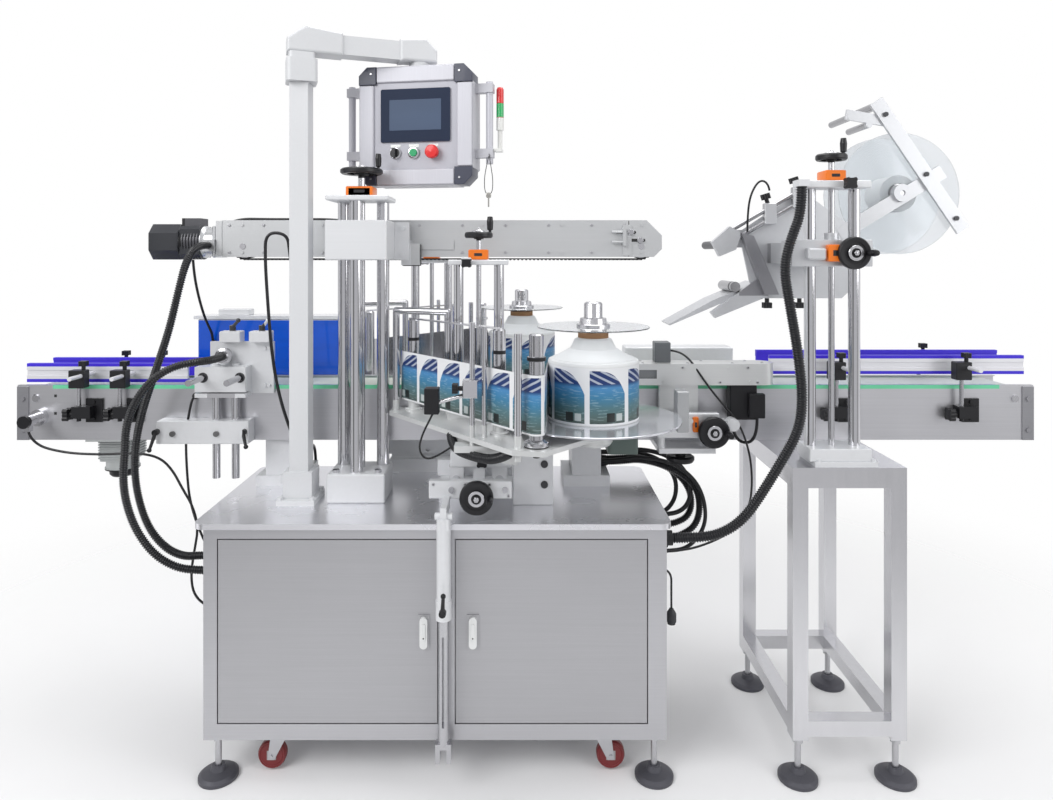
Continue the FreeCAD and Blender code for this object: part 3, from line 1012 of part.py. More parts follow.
def web_sheet(path):
    """Thin label web standing on edge along a list of plan points."""
    run = [FreeCAD.Vector(x, y, web_low) for x, y in path]
    edges = []
    for a, b in zip(run, run[1:]):
        side = FreeCAD.Vector(-(b - a).y, (b - a).x, 0).normalize() * WEB_THICK
        edges.append(plate([a, b, b + side, a + side], (0, 0, web_high - web_low)))
    return fuse(*edges)


x, y, radius = third_roller
wrap_radius = radius + 1.2
bend = [(x + wrap_radius * math.cos(math.radians(-28 * k)),
         y + wrap_radius * math.sin(math.radians(-28 * k)))
        for k in range(6)]
web = web_sheet([(REEL_X - ROLL_RADIUS - 1.5, REEL_Y - 4)] + bend + [WEB_END])
pieces["front_head_frame"] = group(head, web)

top = FRONT_ROLLER_TOP
x, y, radius = third_roller
pieces["front_feed_roller"] = fuse(
    rod((x, y, DECK_Z[0] - 14), (x, y, top), 8),
    revolve([(0, deck_top + BODY_GAP), (30, deck_top + BODY_GAP), (30, deck_top + 12),
             (radius, deck_top + 18),
             (radius, top - 64), (radius + 5, top - 62), (radius + 5, top - 54), (radius, top - 52),
             (radius, top - 3), (radius - 3, top), (0, top)], (x, y, 0)))

disc_top = LOWER_DISC_Z + 5
roll_top = disc_top + ROLL_HEIGHT
reel = fuse(revolve([(0, LOWER_DISC_Z), (LOWER_DISC_RADIUS, LOWER_DISC_Z), (LOWER_DISC_RADIUS, disc_top),
                     (0, disc_top)], (REEL_X, REEL_Y, 0)),
            rod((REEL_X, REEL_Y, 884), (REEL_X, REEL_Y, LOWER_DISC_Z + 1), REEL_SHAFT_RADIUS))
roll = revolve([(0, disc_top), (ROLL_RADIUS, disc_top), (ROLL_RADIUS, roll_top),
                (ROLL_RADIUS - 10, roll_top + 9),
                (62, roll_top + 32), (48, roll_top + 58), (39, roll_top + 62), (39, roll_top + 76),
                (0, roll_top + 76)],
               (REEL_X, REEL_Y, 0))
hub = revolve([(0, roll_top + 76), (36, roll_top + 76), (44, roll_top + 84), (44, roll_top + 96),
               (37, roll_top + 100),
               (34, roll_top + 112), (24, roll_top + 114), (24, roll_top + 150), (20, roll_top + 154),
               (0, roll_top + 154)],
              (REEL_X, REEL_Y, 0))
top_disc = revolve([(30, roll_top + 88), (146, roll_top + 88), (146, roll_top + 91), (30, roll_top + 91)],
                   (REEL_X, REEL_Y, 0))
pieces["front_reel"] = fuse(reel, roll, hub, top_disc)

# Rear labelling head: the front one mirrored across the belt and shifted along it
REAR_SHIFT = -186.0
REAR_RISER_FRONT = 446.0


def rear_copy(shape):
    copy = shape.mirror(FreeCAD.Vector(0, belt_middle, 0), FreeCAD.Vector(0, 1, 0))
    copy.translate(FreeCAD.Vector(REAR_SHIFT, 0, 0))
    return copy


rear_shelf = box(SLIDE_X[0] + 12 + REAR_SHIFT, REAR_RISER_FRONT, TABLE_TOP, SLIDE_X[1] - 2 + REAR_SHIFT,
                 2 * belt_middle - SLIDE_Y[1] + 1, TABLE_TOP + 40)
rear_parts = [fuse(rear_copy(base), rear_shelf), rear_copy(pieces["cross_handwheel"]), rear_copy(mast),
              rear_copy(pieces["mast_handwheel"]), rear_copy(head), rear_copy(web),
              rear_copy(pieces["front_feed_roller"])]
pieces["rear_head"] = group(*rear_parts)
pieces["rear_reel"] = rear_copy(pieces["front_reel"])

# Wrap station: fixed base under the conveyor, sliding belt unit at the front, board at the rear
WRAP_X = (319.0, 724.0)
WRAP_Z = (981.0, 1042.0)
WRAP_FRONT = 232.0
WRAP_DEPTH = 82.0
WRAP_BASE_X = (377.0, 536.0)
WRAP_POST_X = (386.0, 516.0)
WRAP_POST_Y = 206.0
WRAP_ROD_X = (402.0, 462.0)
WRAP_ROD_Z = 890.0
WRAP_ROD_RADIUS = 8.0
WRAP_SCREW_X = 527.0
WRAP_SCREW_Z = 859.0
WRAP_SCREW_RADIUS = 6.0
WRAP_WHEEL_Y = 176.0
WRAP_WHEEL_RADIUS = 44.0
BOARD_X = (319.0, 660.0)

wrap_plate = box(WRAP_BASE_X[0], WRAP_POST_Y - 18, panel_bottom - 14, WRAP_BASE_X[1], CONVEYOR_REAR + 60,
                 panel_bottom)
posts = [rod((x, WRAP_POST_Y, panel_bottom - 2), (x, WRAP_POST_Y, 848), 10) for x in WRAP_POST_X]
wrap_block = soften(box(374, WRAP_POST_Y - 12, 838, 548, WRAP_POST_Y + 12, 908), 2)
boss = rod((584, WRAP_POST_Y - 26, 878), (584, WRAP_POST_Y + 6, 878), 18)
boss_arm = box(546, WRAP_POST_Y - 4, 866, 586, WRAP_POST_Y + 8, 890)
wrap_base = fuse(wrap_plate, *posts, wrap_block, boss, boss_arm)
for x in WRAP_ROD_X:
    wrap_base = wrap_base.cut(rod((x, 100, WRAP_ROD_Z), (x, 260, WRAP_ROD_Z),
                                  WRAP_ROD_RADIUS + SLIDE_FIT))
wrap_base = wrap_base.cut(rod((WRAP_SCREW_X, 100, WRAP_SCREW_Z), (WRAP_SCREW_X, 260, WRAP_SCREW_Z),
                              WRAP_SCREW_RADIUS + SLIDE_FIT))
lower_wheel = fuse(revolve([(0, 0), (36, 0), (40, 6), (40, 14), (34, 18), (14, 16), (12, 34), (0, 34)],
                           (446, WRAP_POST_Y + 30, panel_bottom - 48)))
board_front = 2 * belt_middle - (WRAP_FRONT + WRAP_DEPTH)
board_rear = board_front + WRAP_DEPTH
board = soften(box(BOARD_X[0], board_front, WRAP_Z[0] + 6, BOARD_X[1], board_rear, WRAP_Z[1] + 20), 2)
board_leg = box(400, CONVEYOR_REAR, 900, 520, board_rear - 10, WRAP_Z[0] + 8)
pieces["wrap_base"] = group(wrap_base, lower_wheel, fuse(board, board_leg))

end_radius = WRAP_DEPTH / 2
cover = box(WRAP_X[0], WRAP_FRONT, WRAP_Z[0], WRAP_X[1] - end_radius, WRAP_FRONT + WRAP_DEPTH, WRAP_Z[1])
cover = fuse(cover, rod((WRAP_X[1] - end_radius, WRAP_FRONT + end_radius, WRAP_Z[0]),
                        (WRAP_X[1] - end_radius, WRAP_FRONT + end_radius, WRAP_Z[1]), end_radius))
window = box(WRAP_X[0] + 4, WRAP_FRONT - 1, WRAP_Z[0] + 20, WRAP_X[0] + 58, WRAP_FRONT + 6,
             WRAP_Z[1] - 18)
cover_screws = [rod((WRAP_X[0] + 80 + 62 * k, WRAP_FRONT - 3, WRAP_Z[0] + 10 + 40 * (k % 2)),
                    (WRAP_X[0] + 80 + 62 * k, WRAP_FRONT + 1, WRAP_Z[0] + 10 + 40 * (k % 2)),
                    4) for k in range(5)]
hanger = box(388, WRAP_FRONT + 16, 872, 500, WRAP_FRONT + 36, WRAP_Z[0] + 1)
slide_rods = [rod((x, WRAP_POST_Y - 30, WRAP_ROD_Z), (x, WRAP_FRONT + 38, WRAP_ROD_Z), WRAP_ROD_RADIUS)
              for x in WRAP_ROD_X]
sensor = soften(box(378, 262, WRAP_Z[1] - 1, 424, 306, 1101), 2)
gear = soften(box(590, WRAP_FRONT + 4, 880, 668, CONVEYOR_FRONT - 16, WRAP_Z[0] + 1), 3)
gear_plug = soften(box(640, WRAP_FRONT - 14, 888, 686, WRAP_FRONT + 6, 958), 2)
pieces["wrap_unit"] = fuse(cover.cut(window), *cover_screws, hanger, *slide_rods, sensor, gear, gear_plug)
pieces["wrap_handwheel"] = fuse(
    handwheel((WRAP_SCREW_X, WRAP_WHEEL_Y, WRAP_SCREW_Z), (0, -1, 0), WRAP_WHEEL_RADIUS,
              WRAP_SCREW_RADIUS,
              WRAP_POST_Y + 14 - WRAP_WHEEL_Y))

# Top labelling head: tower on the stand's plate
TOP_BASE_X = (734.0, 894.0)
TOP_BASE_Y = (14.0, 108.0)
TOP_COLUMN_X = (751.0, 868.0)
TOP_COLUMN_Y = 60.0
TOP_COLUMN_RADIUS = 15.0
TOP_PLATE_Z = (1531.0, 1550.0)
TOP_SCREW_X = 808.0
TOP_SCREW_RADIUS = 8.0
TOP_WHEEL_Z = 1611.0
TOP_WHEEL_RADIUS = 40.0
ARM_Z = (1326.0, 1396.0)
SIDE_PLATE_Y = 292.0
SIDE_PLATE_THICK = 8.0
TOP_REEL_X = 1111.0
TOP_REEL_Z = 1539.0
TOP_DISC_RADIUS = 180.0

foot_plate = box(TOP_BASE_X[0] + 10, TOP_BASE_Y[0] - 8, STAND_TOP, TOP_BASE_X[1] + 12, TOP_BASE_Y[1] + 6,
                 STAND_TOP + 12)
foot_block = soften(box(TOP_BASE_X[0], TOP_BASE_Y[0], STAND_TOP + 11, TOP_BASE_X[1], TOP_BASE_Y[1],
                        STAND_TOP + 44), 2)
top_columns = [rod((x, TOP_COLUMN_Y, STAND_TOP + 40), (x, TOP_COLUMN_Y, TOP_PLATE_Z[1] - 4),
                   TOP_COLUMN_RADIUS)
               for x in TOP_COLUMN_X]
top_plate = soften(box(723, TOP_COLUMN_Y - 40, TOP_PLATE_Z[0], 896, TOP_COLUMN_Y + 40, TOP_PLATE_Z[1]), 2)
top_counter = soften(box(TOP_SCREW_X - 26, TOP_COLUMN_Y - 28, TOP_PLATE_Z[1] - 1, TOP_SCREW_X + 26,
                         TOP_COLUMN_Y + 28, TOP_PLATE_Z[1] + 27), 3)
top_knob = star_knob((830, TOP_COLUMN_Y - 40, 1540), (0, -1, 0), 18, 34)
top_bolts = [hexagon_bolt((x, TOP_BASE_Y[0] - 1, STAND_TOP + 12), (0, 0, 1), 10, 6) for x in (756, 898)]
conduit_clip = box(696, TOP_COLUMN_Y - 70, TOP_PLATE_Z[0] + 1, 724, TOP_COLUMN_Y - 26, TOP_PLATE_Z[1] - 1)
top_tower = fuse(foot_plate, foot_block, *top_columns, top_plate, top_counter, top_knob, *top_bolts,
                 conduit_clip, box(723, TOP_COLUMN_Y - 40, TOP_PLATE_Z[0] + 1, 740, TOP_COLUMN_Y - 26,
                                   TOP_PLATE_Z[1] - 1))
pieces["top_tower"] = top_tower.cut(rod((TOP_SCREW_X, TOP_COLUMN_Y, STAND_TOP + 26),
                                        (TOP_SCREW_X, TOP_COLUMN_Y, 1600),
                                        TOP_SCREW_RADIUS + SLIDE_FIT))
pieces["top_handwheel"] = handwheel((TOP_SCREW_X, TOP_COLUMN_Y, TOP_WHEEL_Z), (0, 0, 1), TOP_WHEEL_RADIUS,
                                    TOP_SCREW_RADIUS, TOP_WHEEL_Z - STAND_TOP - 28)

arm_plate = soften(box(688, TOP_COLUMN_Y - 38, ARM_Z[0], 900, TOP_COLUMN_Y + 38, ARM_Z[1]), 2)
arm_block = box(716, TOP_COLUMN_Y + 36, ARM_Z[0] + 6, 880, SIDE_PLATE_Y + 1, ARM_Z[1] - 6)
nose = soften(box(724, TOP_COLUMN_Y - 60, ARM_Z[0] + 18, 772, TOP_COLUMN_Y - 30, ARM_Z[1] - 22), 4)
cross_counter = soften(box(778, TOP_COLUMN_Y - 58, 1340, 812, TOP_COLUMN_Y - 36, 1382), 2)
cross_wheel = handwheel((840, TOP_COLUMN_Y - 62, 1361), (0, -1, 0), 42, 7, 30)
screw_collar = rod((TOP_SCREW_X, TOP_COLUMN_Y, ARM_Z[1] - 1), (TOP_SCREW_X, TOP_COLUMN_Y, ARM_Z[1] + 18),
                   18)
side_outline = [(664, 1276), (694, 1228), (936, 1228), (962, 1252), (962, 1440), (818, 1548), (632, 1424)]
side_plate_shape = plate([(x, SIDE_PLATE_Y, z) for x, z in side_outline], (0, SIDE_PLATE_THICK, 0))
channel_outline = [(632, 1420), (668, 1412), (742, 1240), (700, 1240)]
channel_shape = plate([(x, SIDE_PLATE_Y - 26, z) for x, z in channel_outline], (0, 27, 0))
roller_case = plate([(548, SIDE_PLATE_Y - 20, 1394), (600, SIDE_PLATE_Y - 20, 1440),
                     (634, SIDE_PLATE_Y - 20, 1420),
                     (618, SIDE_PLATE_Y - 20, 1372), (570, SIDE_PLATE_Y - 20, 1352)], (0, 24, 0))
case_arm = box(596, SIDE_PLATE_Y, 1378, 660, SIDE_PLATE_Y + 8, 1430)
rails = [rod((604, y, 1428 - shift), (812, y, 1548 - shift), 6) for y, shift in
         ((SIDE_PLATE_Y - 12, 0), (SIDE_PLATE_Y - 12, 34))]
clamps = []
for t in (0.55, 0.95):
    x = 604 + 208 * t
    z = 1428 + 120 * t
    clamps.append(soften(box(x - 17, SIDE_PLATE_Y - 26, z - 48, x + 17, SIDE_PLATE_Y + 2, z + 14), 2))
    clamps.append(star_knob((x - 6, SIDE_PLATE_Y - 14, z + 13), (-0.3, 0, 0.954), 15, 30))
ROLLER_REACH = 138.0
rollers = [revolve([(0, 0), (r, 0), (r, ROLLER_REACH), (0, ROLLER_REACH)], (x, SIDE_PLATE_Y - 4, z),
                   (0, 1, 0))
           for x, z, r in ((566, 1386, 12), (620, 1262, 15), (1040, 1798, 12), (962, 1764, 10),
                           (1016, 1742, 10))]
tongue_plate = plate([(700, SIDE_PLATE_Y + 14, 1262), (430, SIDE_PLATE_Y + 14, 1146),
                      (428, SIDE_PLATE_Y + 14, 1150),
                      (560, SIDE_PLATE_Y + 14, 1222), (690, SIDE_PLATE_Y + 14, 1276)], (0, 120, 0))
tongue_rib = plate([(716, SIDE_PLATE_Y - 8, 1234), (560, SIDE_PLATE_Y - 8, 1170),
                    (548, SIDE_PLATE_Y - 8, 1186),
                    (690, SIDE_PLATE_Y - 8, 1290), (716, SIDE_PLATE_Y - 8, 1290)], (0, 23, 0))
lower_knobs = [star_knob((x, SIDE_PLATE_Y + 4, 1229), (0, 0, -1), 16, 30) for x in (716, 812)]


def slanted_bar(a, b, y, width, thick):
    """Flat bar between two points of a plane of constant Y."""
    start = FreeCAD.Vector(a[0], y, a[1])
    end = FreeCAD.Vector(b[0], y, b[1])
    side = FreeCAD.Vector(-(end - start).z, 0, (end - start).x).normalize() * (width / 2)
    return plate([start + side, end + side, end - side, start - side], (0, thick, 0))


long_bar = slanted_bar((1034, 1810), (1291, 1430), SIDE_PLATE_Y - 10, 42, 10)
cross_bar = slanted_bar((930, 1416), (1236, 1603), SIDE_PLATE_Y - 1, 42, 10)
short_bar = slanted_bar((948, 1772), (1064, 1752), SIDE_PLATE_Y - 3, 30, 8)
bar_bolts = [rod((x, SIDE_PLATE_Y - 16, z), (x, SIDE_PLATE_Y - 8, z), 7)
             for x, z in ((1060, 1770), (1180, 1594),
                                                                                   (1268, 1464))]
axle_boss = rod((TOP_REEL_X, SIDE_PLATE_Y - 12, TOP_REEL_Z), (TOP_REEL_X, SIDE_PLATE_Y + 9, TOP_REEL_Z),
                26)
top_head = fuse(arm_plate, arm_block, nose, cross_counter, cross_wheel, screw_collar, side_plate_shape,
                channel_shape,
                roller_case, case_arm, *rails, *clamps, *rollers, tongue_plate, tongue_rib, *lower_knobs,
                long_bar,
                cross_bar, short_bar, *bar_bolts, axle_boss)
for x in TOP_COLUMN_X:
    top_head = top_head.cut(rod((x, TOP_COLUMN_Y, 1300), (x, TOP_COLUMN_Y, 1450),
                                TOP_COLUMN_RADIUS + SLIDE_FIT))
top_head = top_head.cut(rod((TOP_SCREW_X, TOP_COLUMN_Y, 1300), (TOP_SCREW_X, TOP_COLUMN_Y, 1450),
                            TOP_SCREW_RADIUS + SLIDE_FIT))
top_head = top_head.cut(rod((TOP_REEL_X, SIDE_PLATE_Y - 20, TOP_REEL_Z),
                            (TOP_REEL_X, SIDE_PLATE_Y + 20, TOP_REEL_Z),
                            8 + SLIDE_FIT))
pieces["top_head"] = top_head

reel_y = SIDE_PLATE_Y + 10
pieces["top_reel"] = revolve([(0, -18), (8, -18), (8, 0), (TOP_DISC_RADIUS, 0), (TOP_DISC_RADIUS, 4),
                              (92, 4),
                              (92, 112), (30, 112), (28, 134), (0, 134)],
                             (TOP_REEL_X, reel_y, TOP_REEL_Z), (0, 1, 0))

# Flexible lines, each a plain tube along its route
HOSE_DIAMETER = 22.0
CONDUIT_DIAMETER = 27.0
GLAND_LENGTH = 22.0
left_entry = CABINET_LEFT - GLAND_LENGTH
right_entry = CABINET_RIGHT + GLAND_LENGTH
conduit_top = TOP_PLATE_Z[0] + 1
motor_hose_route = [
    (-952, 322, 1385), (-952, 242, 1385), (-953, 178, 1338), (-962, 150, 1254), (-987, 152, 1150),
    (-1028, 166, 1045), (-1073, 184, 935), (-1100, 196, 850), (-1108, 197, 762), (-1096, 190, 680),
    (-1060, 176, 595), (-1004, 160, 542), (-946, 148, 522), (-896, 144, 528), (left_entry, 144, 528)]
side_hose_route = [
    (-876, 230, 1062), (-876, 168, 1062), (-900, 122, 1064), (-950, 92, 1056), (-1004, 86, 1022),
    (-1050, 88, 962), (-1075, 90, 895), (-1078, 91, 822), (-1084, 92, 752), (-1075, 94, 682),
    (-1050, 98, 610), (-1006, 104, 545), (-950, 110, 508), (-896, 112, 500), (left_entry, 112, 500)]
conduit_route = [
    (709, 6, conduit_top), (709, 6, 1466), (680, 4, 1396), (661, 2, 1322), (676, 0, 1230),
    (697, -2, 1105), (709, -2, 990), (700, 0, 905), (657, 4, 826), (606, 10, 738), (562, 18, 670),
    (506, 30, 628), (444, 44, 614), (right_entry, 44, 614)]
pieces["motor_hose"] = cord("motor_hose", motor_hose_route, HOSE_DIAMETER)
pieces["side_hose"] = cord("side_hose", side_hose_route, HOSE_DIAMETER)
pieces["top_conduit"] = cord("top_conduit", conduit_route, CONDUIT_DIAMETER)


def gland(x, y, z, out):
    return revolve([(0, 0), (24, 0), (24, 8), (19, 9), (19, GLAND_LENGTH), (0, GLAND_LENGTH)],
                   (x, y, z), (out, 0, 0))


glands = [gland(CABINET_LEFT, *motor_hose_route[-1][1:], -1),
          gland(CABINET_LEFT, *side_hose_route[-1][1:], -1),
          gland(CABINET_RIGHT, *conduit_route[-1][1:], 1)]
pieces["cabinet_shell"] = fuse(pieces["cabinet_shell"], *glands)

# Pieces that share a node with what carries them
pieces["conveyor_rear_panel"] = group(pieces["conveyor_rear_panel"], pieces.pop("conveyor_bed"))
pieces["control_box"] = group(pieces["control_box"], pieces.pop("touch_panel"))
pieces["hold_down_housing"] = group(pieces["hold_down_housing"], pieces.pop("hold_down_carriage"))

# Move the finished pieces to the origin and write one file for each
os.makedirs("parts", exist_ok=True)
for name, shape in pieces.items():
    moved = shape.copy()
    moved.translate(FreeCAD.Vector(0, -ORIGIN_DEPTH, 0))
    if not moved.isValid():
        print(name, "is not valid")
    moved.exportStep("parts/" + name + ".step")
everything = Part.makeCompound(list(pieces.values()))
print(len(pieces), "pieces", everything.BoundBox)
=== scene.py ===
"""Visual model of a bottle labeling machine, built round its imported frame."""
import math
from functools import partial

import bmesh
import bpy
import numpy as np
from bpy.props import FloatProperty, FloatVectorProperty, PointerProperty
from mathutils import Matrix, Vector


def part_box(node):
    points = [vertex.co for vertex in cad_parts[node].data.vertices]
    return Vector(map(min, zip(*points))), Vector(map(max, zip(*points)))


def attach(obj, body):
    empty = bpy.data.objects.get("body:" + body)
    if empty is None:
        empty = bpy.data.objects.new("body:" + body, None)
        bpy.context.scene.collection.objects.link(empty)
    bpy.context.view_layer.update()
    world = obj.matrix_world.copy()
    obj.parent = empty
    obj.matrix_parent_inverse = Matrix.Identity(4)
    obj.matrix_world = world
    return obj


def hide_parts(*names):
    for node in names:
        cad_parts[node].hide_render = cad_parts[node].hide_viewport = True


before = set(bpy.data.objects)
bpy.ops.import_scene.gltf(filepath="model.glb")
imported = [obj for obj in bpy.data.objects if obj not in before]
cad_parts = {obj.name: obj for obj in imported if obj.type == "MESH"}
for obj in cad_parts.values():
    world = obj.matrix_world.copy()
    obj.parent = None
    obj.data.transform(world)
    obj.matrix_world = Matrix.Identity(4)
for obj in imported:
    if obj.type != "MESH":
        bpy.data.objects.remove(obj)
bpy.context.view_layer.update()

bl_info = {
    "name": "Labeling machine",
    "version": (1, 0, 0),
    "blender": (4, 5, 0),
    "location": "3D View > Sidebar > Labeling machine",
    "description": "Finishes, reels, labels, cables and stage of a bottle labeling machine",
    "category": "Object",
}

DEPTH_SHIFT = 383.0
BASE = "machine_base"
FRONT = (0, -1, 0)
UP = (0, 0, 1)
FLAT_RING = 1.2
DENT_DEPTH = 0.0004
EVERYWHERE = 5000.0

BLACK = (0.007, 0.007, 0.009)
STEEL = (0.52, 0.52, 0.54)
POLISHED = (0.62, 0.62, 0.64)
ORANGE = (0.85, 0.19, 0.01)
WHITE = (0.74, 0.75, 0.77)
FINE = (300, 300, 300)
MEDIUM = (200, 200, 200)
COARSE = (120, 120, 120)


def at(x, y, z):
    """Point in metres from the drawing's millimetres, whose depth starts at the cabinet front."""
    return np.array([x, y - DEPTH_SHIFT, z], float) / 1000.0


def grid_faces(rows, cols, wrap_rows, wrap_cols, start):
    """Quads of a rows by cols grid, joined over the last row or column where asked."""
    i = np.arange(rows if wrap_rows else rows - 1)
    j = np.arange(cols if wrap_cols else cols - 1)
    a, b = np.meshgrid(i, j, indexing="ij")
    next_a, next_b = (a + 1) % rows, (b + 1) % cols
    quads = np.stack([a * cols + b, a * cols + next_b, next_a * cols + next_b, next_a * cols + b], -1)
    return quads.reshape(-1, 4) + start


def build(name, grids, material, body, angle=35.0, uv=None):
    """One mesh object from grids of points. A grid is (points, wraps in rows, wraps in columns).

    Points that meet are merged, but not on a surface with uv, which keeps its seam."""
    points, faces, start = [], [], 0
    for grid, wrap_rows, wrap_cols in grids:
        rows, cols = grid.shape[:2]
        points.append(grid.reshape(-1, 3))
        faces.append(grid_faces(rows, cols, wrap_rows, wrap_cols, start))
        start += rows * cols
    mesh = bpy.data.meshes.new(name)
    mesh.from_pydata(np.concatenate(points).tolist(), [], np.concatenate(faces).tolist())
    if uv is None:
        work = bmesh.new()
        work.from_mesh(mesh)
        bmesh.ops.remove_doubles(work, verts=work.verts, dist=1e-6)
        bmesh.ops.recalc_face_normals(work, faces=work.faces)
        work.to_mesh(mesh)
        work.free()
    else:
        corner = np.empty(len(mesh.loops), np.int32)
        mesh.loops.foreach_get("vertex_index", corner)
        mesh.uv_layers.new(name="surface").data.foreach_set("uv", uv.reshape(-1, 2)[corner].ravel())
    mesh.shade_smooth()
    mesh.set_sharp_from_angle(angle=math.radians(angle))
    mesh.materials.append(material)
    piece = bpy.data.objects.new(name, mesh)
    bpy.context.scene.collection.objects.link(piece)
    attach(piece, body)
    return piece


def basis(axis):
    """Two unit vectors square to an axis and to each other, and the axis at unit length."""
    w = np.asarray(axis, float) / np.linalg.norm(axis)
    helper = np.array([0.0, 0.0, 1.0]) if abs(w[2]) < 0.9 else np.array([1.0, 0.0, 0.0])
    u = np.cross(helper, w)
    u /= np.linalg.norm(u)
    return u, np.cross(w, u), w


def lathe(profile, centre, axis=UP, steps=48):
    """Surface of revolution: radius r and height h of the profile, turned through a full circle.

    Point = centre + axis h + r (u cos t + v sin t), with r and h in millimetres."""
    u, v, w = basis(axis)
    r, h = np.array(profile, float).T / 1000.0
    t = np.linspace(0, 2 * np.pi, steps, endpoint=False)
    ring = np.cos(t)[:, None] * u + np.sin(t)[:, None] * v
    return np.asarray(centre) + h[:, None, None] * w + r[:, None, None] * ring[None], False, True


def rounded(width, height, corner, steps=5):
    """Outline of a rectangle about the origin whose corners are quarter circles."""
    corner = min(corner, width / 2 - 0.01, height / 2 - 0.01)
    t = np.linspace(0, np.pi / 2, steps)
    arcs = []
    for k, (sx, sy) in enumerate(((1, 1), (-1, 1), (-1, -1), (1, -1))):
        turn = t + k * np.pi / 2
        arcs.append(np.stack([sx * (width / 2 - corner) + corner * np.cos(turn),
                              sy * (height / 2 - corner) + corner * np.sin(turn)], -1))
    return np.concatenate(arcs)


def slab(outline, centre, axis, low, high, edge=1.0):
    """Outline carried along an axis from low to high, drawn in by a rounded edge at both ends.

    The profile (inset, height) runs by a quarter circle from (edge, low) to (0, low + edge), on to
    (0, high - edge) and by another to (edge, high). A ring further in keeps each end's shading
    flat, and a point in the middle closes it. All sizes are in millimetres."""
    u, v, w = basis(axis)
    outline = np.asarray(outline, float)
    ahead = np.roll(outline, -1, 0) - outline
    ahead /= np.linalg.norm(ahead, axis=1)[:, None] + 1e-12
    behind = np.roll(ahead, 1, 0)
    normal = np.stack([ahead[:, 1] + behind[:, 1], -ahead[:, 0] - behind[:, 0]], -1)
    normal /= np.linalg.norm(normal, axis=1)[:, None] + 1e-12
    middle = np.repeat(outline.mean(0)[None], len(outline), 0)
    bend = np.linspace(0, np.pi / 2, 4)
    closing, opening = edge * (1 - np.sin(bend)), edge * (1 - np.cos(bend))
    inner = edge * FLAT_RING
    insets = [None, inner, *closing, *opening, inner, None]
    heights = [low, low, *(low + opening), *(high - closing), high, high]
    rings = []
    for inset, height in zip(insets, heights):
        flat = middle if inset is None else outline - normal * inset
        rings.append(flat[:, :1] * u + flat[:, 1:] * v + height * w)
    return np.asarray(centre) + np.array(rings) / 1000.0, False, True


def block(low, high, corner, edge):
    """Bar between two corners in drawing millimetres, with its rounded outline seen from the front."""
    low, high = np.array(low, float), np.array(high, float)
    wide, deep, tall = high - low
    return slab(rounded(wide, tall, corner), at(*(low + high) / 2), FRONT, -deep / 2, deep / 2, edge)


def tube(points, radius, steps):
    """Circle carried along points, with a radius for each. Its frame is kept from turning.

    Point = p(s) + r(s) (side cos t + up sin t), with side and up square to the tangent."""
    tangent = np.gradient(points, axis=0)
    tangent /= np.linalg.norm(tangent, axis=1)[:, None]
    side = basis(tangent[0])[0]
    sides = []
    for along in tangent:
        side = side - along * (side @ along)
        side = side / np.linalg.norm(side)
        sides.append(side)
    sides = np.array(sides)
    up = np.cross(tangent, sides)
    t = np.linspace(0, 2 * np.pi, steps, endpoint=False)
    ring = np.cos(t)[None, :, None] * sides[:, None] + np.sin(t)[None, :, None] * up[:, None]
    first, last = (np.repeat(points[k][None, None], steps, 1) for k in (0, -1))
    return np.concatenate([first, points[:, None] + radius[:, None, None] * ring, last]), False, True


def hexagon(width):
    """Outline of a hexagon measured across its corners."""
    t = np.arange(6) * np.pi / 3
    return np.stack([np.cos(t), np.sin(t)], -1) * width / 2


def sheet_grid(x, y, z, shape):
    """Grid of points in metres from drawing millimetres that spread to one shape."""
    return np.stack([np.broadcast_to(part, shape) for part in (x, y - DEPTH_SHIFT, z)], -1) / 1000


def sheet_uv(along, up, shape):
    """Place on a surface, in metres along it and up it, for each point of its grid."""
    return np.stack([np.broadcast_to(along, shape), np.broadcast_to(up, shape)], -1)


def new_group(name, inputs, outputs):
    """Empty shader group with named sockets, and its input and output nodes."""
    group = bpy.data.node_groups.new(name, "ShaderNodeTree")
    for label, kind, value in inputs:
        socket = group.interface.new_socket(label, in_out="INPUT", socket_type=kind)
        if value is not None:
            socket.default_value = value
    for label in outputs:
        group.interface.new_socket(label, in_out="OUTPUT", socket_type="NodeSocketFloat")
    return group, group.nodes.new("NodeGroupInput"), group.nodes.new("NodeGroupOutput")


def add(tree, kind, **settings):
    """Node with its settings."""
    node = tree.nodes.new(kind)
    for key, value in settings.items():
        setattr(node, key, value)
    return node


def feed(tree, socket, value):
    """Gives an input a link from another socket, or a constant."""
    if isinstance(value, bpy.types.NodeSocket):
        tree.links.new(value, socket)
    else:
        socket.default_value = value


def math_node(tree, operation, a, b=None, clamp=False):
    """Result of a math node on two sockets or numbers."""
    node = add(tree, "ShaderNodeMath", operation=operation, use_clamp=clamp)
    feed(tree, node.inputs[0], a)
    if b is not None:
        feed(tree, node.inputs[1], b)
    return node.outputs[0]


def product(tree, first, *others):
    """Product of sockets or numbers, such as a mask that is 1 where all of them are."""
    for other in others:
        first = math_node(tree, "MULTIPLY", first, other)
    return first


def vector_node(tree, operation, *values):
    """Vector math node on sockets or vectors."""
    node = add(tree, "ShaderNodeVectorMath", operation=operation)
    for socket, value in zip(node.inputs, values):
        feed(tree, socket, value)
    return node


def separate(tree, vector):
    """X, Y and Z of a vector."""
    node = add(tree, "ShaderNodeSeparateXYZ")
    feed(tree, node.inputs[0], vector)
    return list(node.outputs)


def noise(tree, point, detail, scale=1.0):
    """Value of a noise texture."""
    node = add(tree, "ShaderNodeTexNoise")
    for label, value in (("Vector", point), ("Detail", detail), ("Scale", scale)):
        feed(tree, node.inputs[label], value)
    return node.outputs[0]


